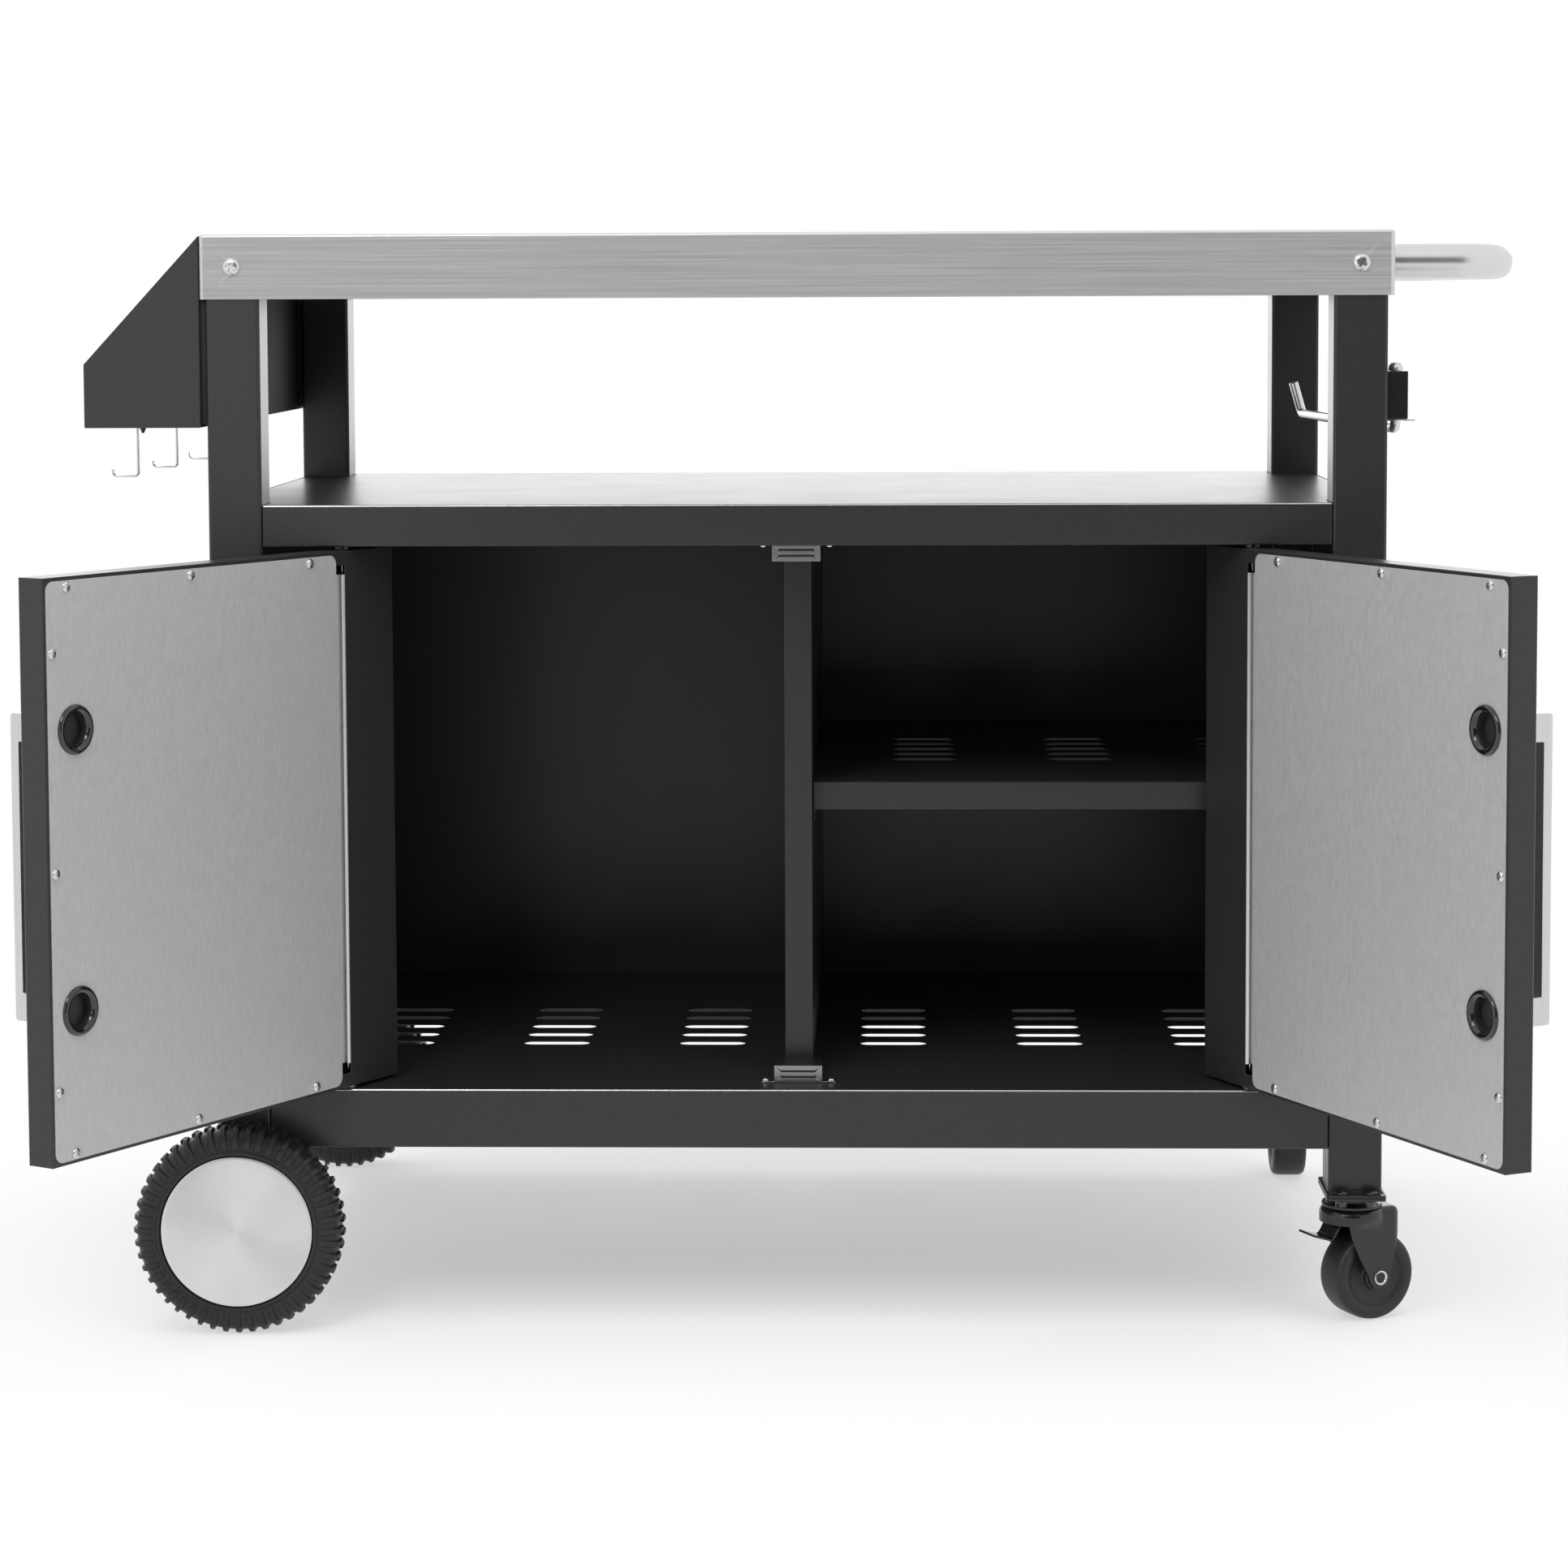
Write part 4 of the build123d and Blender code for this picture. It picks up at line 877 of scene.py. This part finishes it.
class CART_OT_arm(bpy.types.Operator):
    """Bend the swing arm and finish its bracket, clip and screws"""

    bl_idname = "cart.arm"
    bl_label = "Swing arm"

    def execute(self, context):
        x, y = JOINTS["arm_swing"]["pos_m"][:2]
        low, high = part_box("swing_arm")
        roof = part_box("arm_bracket")[1].z
        radius = 0.00425
        level = low.z + radius
        tip_y = high.y - radius
        path = rounded_path([
            (x, y, roof), (x, y, level), (x - 0.035, tip_y, level),
            (x - 0.043, tip_y, level + 0.028)], sizes().rod_bend, steps=10)
        shape = bmesh.new()
        swept(shape, path, circle_outline(radius, count=24), cap_round=0.35)
        head = [(0.0, 0.0), (0.0062, 0.0), (0.0062, 0.0022), (0.0055, 0.0045), (0.0036, 0.0064), (0.0, 0.007)]
        turned(shape, head, outward(UPRIGHT, (x, y, roof + 0.0003)), count=24)
        place(solid_object("swing_arm_rod", shape, "tube", smooth=50.0), "swing_arm")
        bent_sheet("arm_bracket", "enamel", "arm_bracket_pressing", fold=0.0008)
        bent_sheet("arm_clip", "zinc", "arm_clip_spring", fold=0.0003)
        screw_piece(
            "bracket_screw_heads", "bracket_screws", lambda group: (1, 0, 0),
            radius=0.003, height=0.002, seed=11, finish="enamel")
        return {"FINISHED"}


class CART_OT_catches(bpy.types.Operator):
    """Finish the magnetic catches and their screws"""

    bl_idname = "cart.catches"
    bl_label = "Catches"

    def execute(self, context):
        for node in ("top_catch", "bottom_catch"):
            # Catch cases in the half-bright zinc: painted shade.
            bent_sheet(node, "shaded_catch_zinc", f"{node}_case", fold=0.0005, thin=0.0012)
            # Dark plates in the catch's slots: painted shade.
            self.slot_shades(node)
        middle = sum(corner.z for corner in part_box("catch_screws")) / 2
        screw_piece(
            "catch_screw_heads", "catch_screws", lambda group: (0, 0, 1 if group[0].z < middle else -1),
            radius=0.0036, height=0.0022, seed=5)
        return {"FINISHED"}

    def slot_shades(self, node):
        """Dark plates set in the two slots of a catch's face: painted shade for the slots."""
        low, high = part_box(node)
        middle = (low + high) / 2
        depth, pitch, plate = 0.0007, 0.0025, (0.0296, 0.0008, 0.0015)
        shape = bmesh.new()
        for rise in (-pitch, pitch):
            block(shape, (middle.x, low.y + depth, middle.z + rise), plate)
        soften(shape, 0.00015)
        place(solid_object(f"{node}_poles", shape, "plastic", smooth=40.0), node, stands_for=False)


class CART_OT_wheels(bpy.types.Operator):
    """Turn the large wheels and set the lugs of their tyres"""

    bl_idname = "cart.wheels"
    bl_label = "Large wheels"

    def execute(self, context):
        for end in ENDS:
            self.wheel(end, -1 if end == "front" else 1)
        for node in ("axle", "axle_washers", "axle_nuts"):
            bent_sheet(node, "zinc", f"{node}_turned", fold=0.0006, thin=0.0002)
        return {"FINISHED"}

    def lug(self, root, bead, half):
        """A block from the middle of the tread over the shoulder, going down the side wall as a rib."""
        tall, wide, sunk, chamfer, flare = sizes().lug_height, sizes().lug_width / 2, 0.0008, 0.0005, 0.0004
        stations = (
            (root, 0.0012, 1.0, 0.0, tall, wide),
            (root, half - 0.0110, 1.0, 0.0, tall, wide),
            (root - 0.0006, half - 0.0085, 0.96, 0.28, tall * 0.97, wide * 1.05),
            (root - 0.0021, half - 0.0056, 0.82, 0.57, tall * 0.80, wide * 1.15),
            (root - 0.0045, half - 0.0032, 0.55, 0.83, tall * 0.60, wide * 1.28),
            (root - 0.0085, half - 0.0015, 0.20, 0.98, tall * 0.36, wide * 1.40),
            (bead + 0.0085, half - 0.0016, 0.0, 1.0, tall * 0.30, wide * 1.40),
            (bead + 0.0068, half - 0.0017, 0.0, 1.0, tall * 0.10, wide * 1.25),
        )
        shape = bmesh.new()
        loops = []
        for r, h, out_r, out_h, rise, across in stations:
            cut = min(chamfer, rise * 0.4)
            section = [
                (-sunk, -across - flare), (rise - cut, -across), (rise, cut - across),
                (rise, across - cut), (rise - cut, across), (-sunk, across + flare)]
            loops.append(loop_at(shape, [
                (r + out_r * lift, side, h + out_h * lift) for lift, side in section]))
        skin(shape, loops)
        return solid_object("Lug pattern", shape, "rubber")

    def wheel(self, end, way):
        """One wheel: tyre with staggered lugs, rim with hub, bare cap."""
        low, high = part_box(f"{end}_tyre")
        half = (high.y - low.y) / 2
        root = (high.z - low.z) / 2 - sizes().lug_height
        turn = outward((0, way, 0), (low + high) / 2)
        bead, smooth = 0.064, 30.0
        wall = [
            (bead, half - 0.0022), (bead + 0.0012, half), (bead + 0.0036, half),
            (bead + 0.0046, half - 0.0012), (bead + 0.0062, half - 0.0016), (root - 0.0085, half - 0.0015),
            (root - 0.0045, half - 0.0032), (root - 0.0014, half - 0.0068), (root, half - 0.0105),
            (root, half - 0.015), (root + 0.0004, 0.0)]
        shape = bmesh.new()
        turned(shape, both_sides(wall), Matrix.Identity(4), count=96)
        tyre = solid_object(f"{end}_tyre_tread", shape, "rubber", smooth)
        lug = self.lug(root, bead, half)
        settings = {"Lug": lug, "Count": sizes().lugs, "Start": 0.0, "Finish": finish_of("rubber")}
        grown(tyre, ring_tree, settings)
        lug.data.transform(Matrix.Diagonal((1, 1, -1, 1)))
        lug.data.flip_normals()
        settings["Start"] = math.pi / sizes().lugs
        grown(tyre, ring_tree, settings)
        bpy.data.objects.remove(lug)
        tyre.data.transform(turn)
        tyre.data.shade_smooth()
        tyre.data.set_sharp_from_angle(angle=math.radians(smooth))
        place(tyre, f"{end}_tyre")
        barrel, bore, hub, web, edge = 0.061, 0.00605, 0.014, 0.002, bead - 0.0003
        inside, lip, hub_end = 0.0003 - half, half - 0.0018, half - 0.0105
        section = rounded_profile([
            (bore, inside), (hub, inside), (hub, -web), (barrel, -web), (barrel, inside), (edge, inside),
            (edge, lip), (barrel, lip), (barrel, web), (hub, web), (hub, hub_end), (bore, hub_end),
        ], radius=0.0012)
        turned_piece(f"{end}_rim_moulding", f"{end}_rim", section, turn, "plastic", count=72)
        dish = [(0.0, half - 0.0015), (bead - 0.0004, half - 0.0015), (bead - 0.0004, half - 0.0013),
                (bead - 0.0010, half - 0.0009), (bead - 0.0024, half - 0.0008), (0.052, half - 0.0006),
                (0.036, half - 0.0003), (0.018, half - 0.0001), (0.0, half - 0.00005)]
        turned_piece(f"{end}_cap_disc", f"{end}_cap", dish, turn, "cap_silver", count=96)


class CART_OT_casters(bpy.types.Operator):
    """Press the caster forks and turn their wheels"""

    bl_idname = "cart.casters"
    bl_label = "Casters"

    half_fork = 0.0214

    def execute(self, context):
        for end in ENDS:
            bent_sheet(f"{end}_caster_plate", "enamel", f"{end}_caster_top", fold=sizes().pressing)
            self.yoke(end)
            bent_sheet(f"{end}_caster_brake", "enamel", f"{end}_caster_lever", fold=0.0006, thin=0.0002)
            self.wheel(end)
            self.rivet(end)
        bent_sheet("caster_bolts", "gloss", "caster_bolt_heads", fold=0.0015, thin=0.0002)
        return {"FINISHED"}

    def axes(self, end):
        """A caster's axes: X to its axle, Y across, Z up, from the floor under its stem."""
        stem = Vector(JOINTS[f"{end}_caster_swivel"]["pos_m"])
        axle = Vector(JOINTS[f"{end}_caster_roll"]["pos_m"])
        along = Vector((axle.x - stem.x, axle.y - stem.y, 0))
        trail = along.length
        along.normalize()
        up = Vector(UPRIGHT)
        turn = Matrix((along, up.cross(along), up)).transposed().to_4x4()
        return Matrix.Translation((stem.x, stem.y, 0)) @ turn, trail, axle.z

    def yoke_outline(self, round_nose, tail, corner, flank):
        """Plan of the fork's skirt: points and outward directions, from the nose round the tail and back."""
        half = [(out * round_nose, out) for out in arc(math.pi, math.asin(flank / round_nose), steps=24)]
        meet = half[-1][0].x
        middle = Vector((tail - corner, flank - corner))
        for step in range(1, 10):
            half.append((Vector((meet + (middle.x - meet) * step / 10, flank)), Vector((0, 1))))
        half += [(middle + out * corner, out) for out in arc(math.pi / 2, 0, steps=8)]
        mirror = Vector((1, -1))
        return half + [(spot * mirror, out * mirror) for spot, out in reversed(half[1:])]

    def yoke(self, end):
        """Swivel fork pressed from one sheet: domed crown, bearing ring and two cheeks down to the axle."""
        node = f"{end}_caster_fork"
        axes, trail, axle = self.axes(end)
        ring, sheet, dome, tail, foot, flank = 0.0035, 0.0022, 0.006, 0.036, 0.010, self.half_fork
        lift = 2e-5
        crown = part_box(node)[1].z - ring
        skirt, throat, heel = crown - 0.013, (-0.016, trail - foot), (tail - 0.003, crown - 0.026)

        def hem(x):
            """Height of the pressing's lower edge along the fork."""
            if x < throat[0]:
                return skirt
            if x < throat[1]:
                share = (x - throat[0]) / (throat[1] - throat[0])
                return axle + (skirt - axle) * (1 - share ** 0.75)
            if x < trail + foot:
                return axle - math.sqrt(max(foot ** 2 - (x - trail) ** 2, 0))
            if x < heel[0]:
                return axle + (heel[1] - axle) * (x - trail - foot) / (heel[0] - trail - foot)
            return heel[1] + 0.006 * (x - heel[0]) / (tail - heel[0])

        shape = bmesh.new()
        outer, inner = [], []
        for spot, out in self.yoke_outline(0.0275, tail, 0.008, flank):
            shell, lining = [], []
            top, low = crown - dome, min(hem(spot.x), crown - dome - 0.004)
            for step in range(12):
                z = low + (top - low) * step / 12
                press = min(max((z - crown + 0.018) / 0.010, 0), 1)
                press = press * press * (3 - 2 * press)
                wide = abs(spot.y)
                if wide > flank and spot.x > throat[0]:
                    wide = flank + (wide - flank) * press
                point = Vector((spot.x, math.copysign(wide, spot.y), z))
                shell.append(point)
                lining.append(point - Vector((*out, 0)) * sheet)
            for level, rise in arc(0, math.pi / 2, steps=6):
                slope = Vector((*(out * level), rise))
                point = Vector((*(spot - out * dome), top)) + slope * dome
                shell.append(point)
                lining.append(point - slope * sheet)
            outer.append(loop_at(shape, shell, axes))
            inner.append(loop_at(shape, lining, axes))
        walls = [list(zip(*columns)) for columns in (outer, inner)]
        for wall in walls:
            skin(shape, wall, capped=False)
            shape.faces.new(wall[-1])
        skin(shape, [wall[0] for wall in walls], capped=False)
        bearing = rounded_profile([
            (0.0182, 0.0), (0.0256, 0.0), (0.0256, 0.0026), (0.0246, ring), (0.0182, ring)], radius=0.0007)
        turned(shape, bearing, axes @ Matrix.Translation((0, 0, crown + lift)), count=72)
        place(solid_object(f"{end}_caster_yoke", shape, "enamel", smooth=40.0), node)

    def rivet(self, end):
        """Hollow rivet through the wheel: a bright rolled ring, its eye at each end closed by a dark disc that is
        painted shade for the bore.
        """
        roll = JOINTS[f"{end}_caster_roll"]
        middle, axis = Vector(roll["pos_m"]), Vector(roll["axis"])
        upper = [
            (radius, self.half_fork + rise) for radius, rise in (
                (0.0, 0.0008), (0.0042, 0.0008), (0.0046, 0.00176), (0.0053, 0.0022), (0.0061, 0.00176),
                (0.0065, 0.00066), (0.0065, 0.00005), (0.0039, 0.00005))]
        piece = turned_piece(
            f"{end}_caster_rivet", f"{end}_caster_axle", both_sides(upper), outward(axis, middle), "zinc",
            count=48)
        # Dark disc over each eye: painted shade of the rivet's bore.
        refinish(piece, "plastic", lambda face: (face.center - middle).cross(axis).length < 0.0043)

    def wheel(self, end):
        """One caster wheel: rounded tread, dished sides and a raised hub."""
        roll = JOINTS[f"{end}_caster_roll"]
        half = 0.016
        upper = [
            (radius, half + rise) for radius, rise in (
                (0.00405, 0.0026), (0.0105, 0.0026), (0.0118, 0.0016), (0.0124, -0.002), (0.0136, -0.003),
                (0.0236, -0.0032), (0.0252, -0.0024), (0.0262, -0.0012), (0.0276, -0.0008),
                (0.0286, -0.0001), (0.0332, 0.0), (0.0354, -0.0008), (0.0371, -0.0028), (0.0378, -0.006))]
        turned_piece(
            f"{end}_caster_roller", f"{end}_caster_wheel", both_sides(upper + [(0.038, 0.0)]),
            outward(roll["axis"], roll["pos_m"]), "plastic", count=80, smooth=34.0)


class CART_OT_stage(bpy.types.Operator):
    """Set up floor, background, lamps and the camera"""

    bl_idname = "cart.stage"
    bl_label = "Stage"

    def execute(self, context):
        scene = context.scene
        scene.view_settings.view_transform = "Standard"
        self.floor()
        self.world(scene)
        self.lamps(scene)
        self.screen()
        self.camera(scene)
        return {"FINISHED"}

    def lit_by_eye(self, tree, strength):
        """White to camera, glossy and transmission rays, dimmer to the rest."""
        path = add_node(tree, "ShaderNodeLightPath")
        any_ray = path.outputs["Is Camera Ray"]
        for name in ("Is Glossy Ray", "Is Transmission Ray"):
            either = add_node(tree, "ShaderNodeMath", operation="MAXIMUM")
            tree.links.new(any_ray, either.inputs[0])
            tree.links.new(path.outputs[name], either.inputs[1])
            any_ray = either.outputs["Value"]
        ranged = add_node(tree, "ShaderNodeMapRange", {"To Min": strength, "To Max": 1.0})
        tree.links.new(any_ray, ranged.inputs["Value"])
        return ranged.outputs["Result"]

    def floor(self):
        """A wide pale floor that keeps the cart's soft shadow and runs out into white."""
        shape = bmesh.new()
        bmesh.ops.create_grid(shape, x_segments=1, y_segments=1, size=40.0)
        material, tree, shader, spot = new_material("Pale floor")
        tree.nodes.remove(shader)
        shrink = add_node(tree, "ShaderNodeMapping", {"Scale": (1 / 0.95, 1 / 0.75, 0)})
        reach = add_node(tree, "ShaderNodeVectorMath", operation="LENGTH")
        fade = add_node(
            tree, "ShaderNodeMapRange", {"From Min": 0.45, "From Max": 1.1, "To Min": 0.45},
            interpolation_type="SMOOTHSTEP")
        diffuse = add_node(tree, "ShaderNodeBsdfDiffuse", {"Color": (0.93, 0.93, 0.93, 1)})
        glow = add_node(tree, "ShaderNodeEmission")
        mixed = add_node(tree, "ShaderNodeMixShader")
        share = add_node(tree, "ShaderNodeMath", operation="MULTIPLY")
        tree.links.new(spot, shrink.inputs["Vector"])
        tree.links.new(self.lit_by_eye(tree, 0.0), share.inputs[0])
        join(
            tree, (shrink, "Vector", reach, 0), (reach, "Value", fade, "Value"), (fade, "Result", share, 1),
            (share, "Value", mixed, "Fac"), (diffuse, "BSDF", mixed, 1), (glow, "Emission", mixed, 2),
            (mixed, "Shader", tree.nodes["Material Output"], "Surface"))
        mesh_object("studio_floor", shape, material)

    def world(self, scene):
        """A white room: full white to the eye and in reflections, softer as light."""
        world = bpy.data.worlds.new("Studio")
        world.use_nodes = True
        scene.world = world
        back = world.node_tree.nodes["Background"]
        back.inputs["Color"].default_value = (1, 1, 1, 1)
        world.node_tree.links.new(self.lit_by_eye(world.node_tree, 0.55), back.inputs["Strength"])

    def lamps(self, scene):
        """Soft boxes above, in front, at both sides and behind; some of them spare the worktop."""
        shaded = bpy.data.collections.new("Worktop kept out of a box")
        shaded.objects.link(bpy.data.objects["worktop_pan"])
        shaded.collection_objects[0].light_linking.link_state = "EXCLUDE"
        for name, spot, aim, size, power, mirrored, spares in (
            ("Top box", (0.0, -0.4, 3.0), (0, 0, 0.4), (3.2, 3.2), 60.0, False, False),
            ("Key box", (-0.9, -2.4, 2.5), (0, 0, 0.5), (0.9, 0.9), 18.0, True, False),
            ("Left box", (-3.2, -3.0, 2.2), (0, 0, 0.5), (3.4, 3.4), 32.0, False, False),
            ("Right box", (3.2, -3.0, 2.2), (0, 0, 0.5), (3.4, 3.4), 36.0, False, False),
            ("Back box", (0.0, 2.8, 1.2), (0, 0, 0.8), (4.0, 1.2), 20.0, True, True),
            ("Rack box", (-0.95, -2.2, 0.8), (-0.5, -0.3, 0.78), (0.8, 0.8), 2.2, True, True),
        ):
            lamp = bpy.data.lights.new(name, "AREA")
            lamp.shape = "RECTANGLE"
            lamp.size, lamp.size_y = size
            lamp.energy = power
            holder = bpy.data.objects.new(name, lamp)
            holder.location = spot
            holder.visible_glossy = mirrored
            if spares:
                holder.light_linking.receiver_collection = shaded
            holder.visible_camera = False
            holder.rotation_euler = (Vector(spot) - Vector(aim)).to_track_quat("Z", "Y").to_euler()
            scene.collection.objects.link(holder)

    def screen(self):
        """A grey screen behind the camera, for the dark in the reflections."""
        shape = bmesh.new()
        bmesh.ops.create_grid(shape, x_segments=1, y_segments=1, size=0.5)
        bmesh.ops.transform(
            shape, verts=shape.verts,
            matrix=Matrix.Translation((0, -5.2, 1.7)) @ Matrix.Rotation(math.pi / 2, 4, "X")
            @ Matrix.Diagonal((5.5, 3.6, 1, 1)))
        material = bpy.data.materials.new("Grey screen")
        material.use_nodes = True
        shader = material.node_tree.nodes["Principled BSDF"]
        shader.inputs["Base Color"].default_value = (0.16, 0.16, 0.16, 1)
        shader.inputs["Roughness"].default_value = 0.9
        screen = mesh_object("studio_screen", shape, material)
        screen.visible_camera = False
        screen.visible_shadow = False

    def camera(self, scene):
        """The photograph's viewpoint, almost level with the worktop."""
        focal_pixels = 4815.5
        eye = (0.0821, -3.5440, 0.8687)
        pitch, yaw, roll = 0.07675, 0.02817, -0.00401
        data = bpy.data.cameras.new("Viewpoint")
        data.sensor_width = 36.0
        data.lens = focal_pixels / IMAGE_SIZE * data.sensor_width
        data.shift_y = -0.12
        holder = bpy.data.objects.new("Viewpoint", data)
        look = Matrix.Rotation(yaw, 4, "Z") @ Matrix.Rotation(math.pi / 2 - pitch, 4, "X")
        holder.matrix_world = Matrix.Translation(eye) @ look @ Matrix.Rotation(roll, 4, "Z")
        scene.collection.objects.link(holder)
        scene.camera = holder


class CART_PT_panel(bpy.types.Panel):
    """Lists the cart's pieces in the sidebar"""

    bl_idname = "CART_PT_panel"
    bl_label = "Grill cart"
    bl_space_type = "VIEW_3D"
    bl_region_type = "UI"
    bl_category = "Cart"

    def draw(self, context):
        for maker in MAKERS:
            self.layout.operator(maker.bl_idname)
        for group in (context.scene.cart_sizes, context.scene.cart_colours):
            box = self.layout.box()
            for name in group.__annotations__:
                box.prop(group, name)


MAKERS = (
    CART_OT_frame, CART_OT_worktop, CART_OT_doors, CART_OT_rack, CART_OT_push_handle, CART_OT_arm,
    CART_OT_catches, CART_OT_wheels, CART_OT_casters, CART_OT_stage,
)
CLASSES = (CartSizes, CartColours, *MAKERS, CART_PT_panel)


def register():
    """Add the classes and the scene's settings."""
    for each in CLASSES:
        bpy.utils.register_class(each)
    bpy.types.Scene.cart_sizes = PointerProperty(type=CartSizes)
    bpy.types.Scene.cart_colours = PointerProperty(type=CartColours)


def unregister():
    """Take them away again."""
    del bpy.types.Scene.cart_colours
    del bpy.types.Scene.cart_sizes
    for each in reversed(CLASSES):
        bpy.utils.unregister_class(each)


def main():
    """Dress the frame."""
    register()
    for maker in MAKERS:
        group, name = maker.bl_idname.split(".")
        getattr(getattr(bpy.ops, group), name)()


if __name__ == "__main__":
    main()
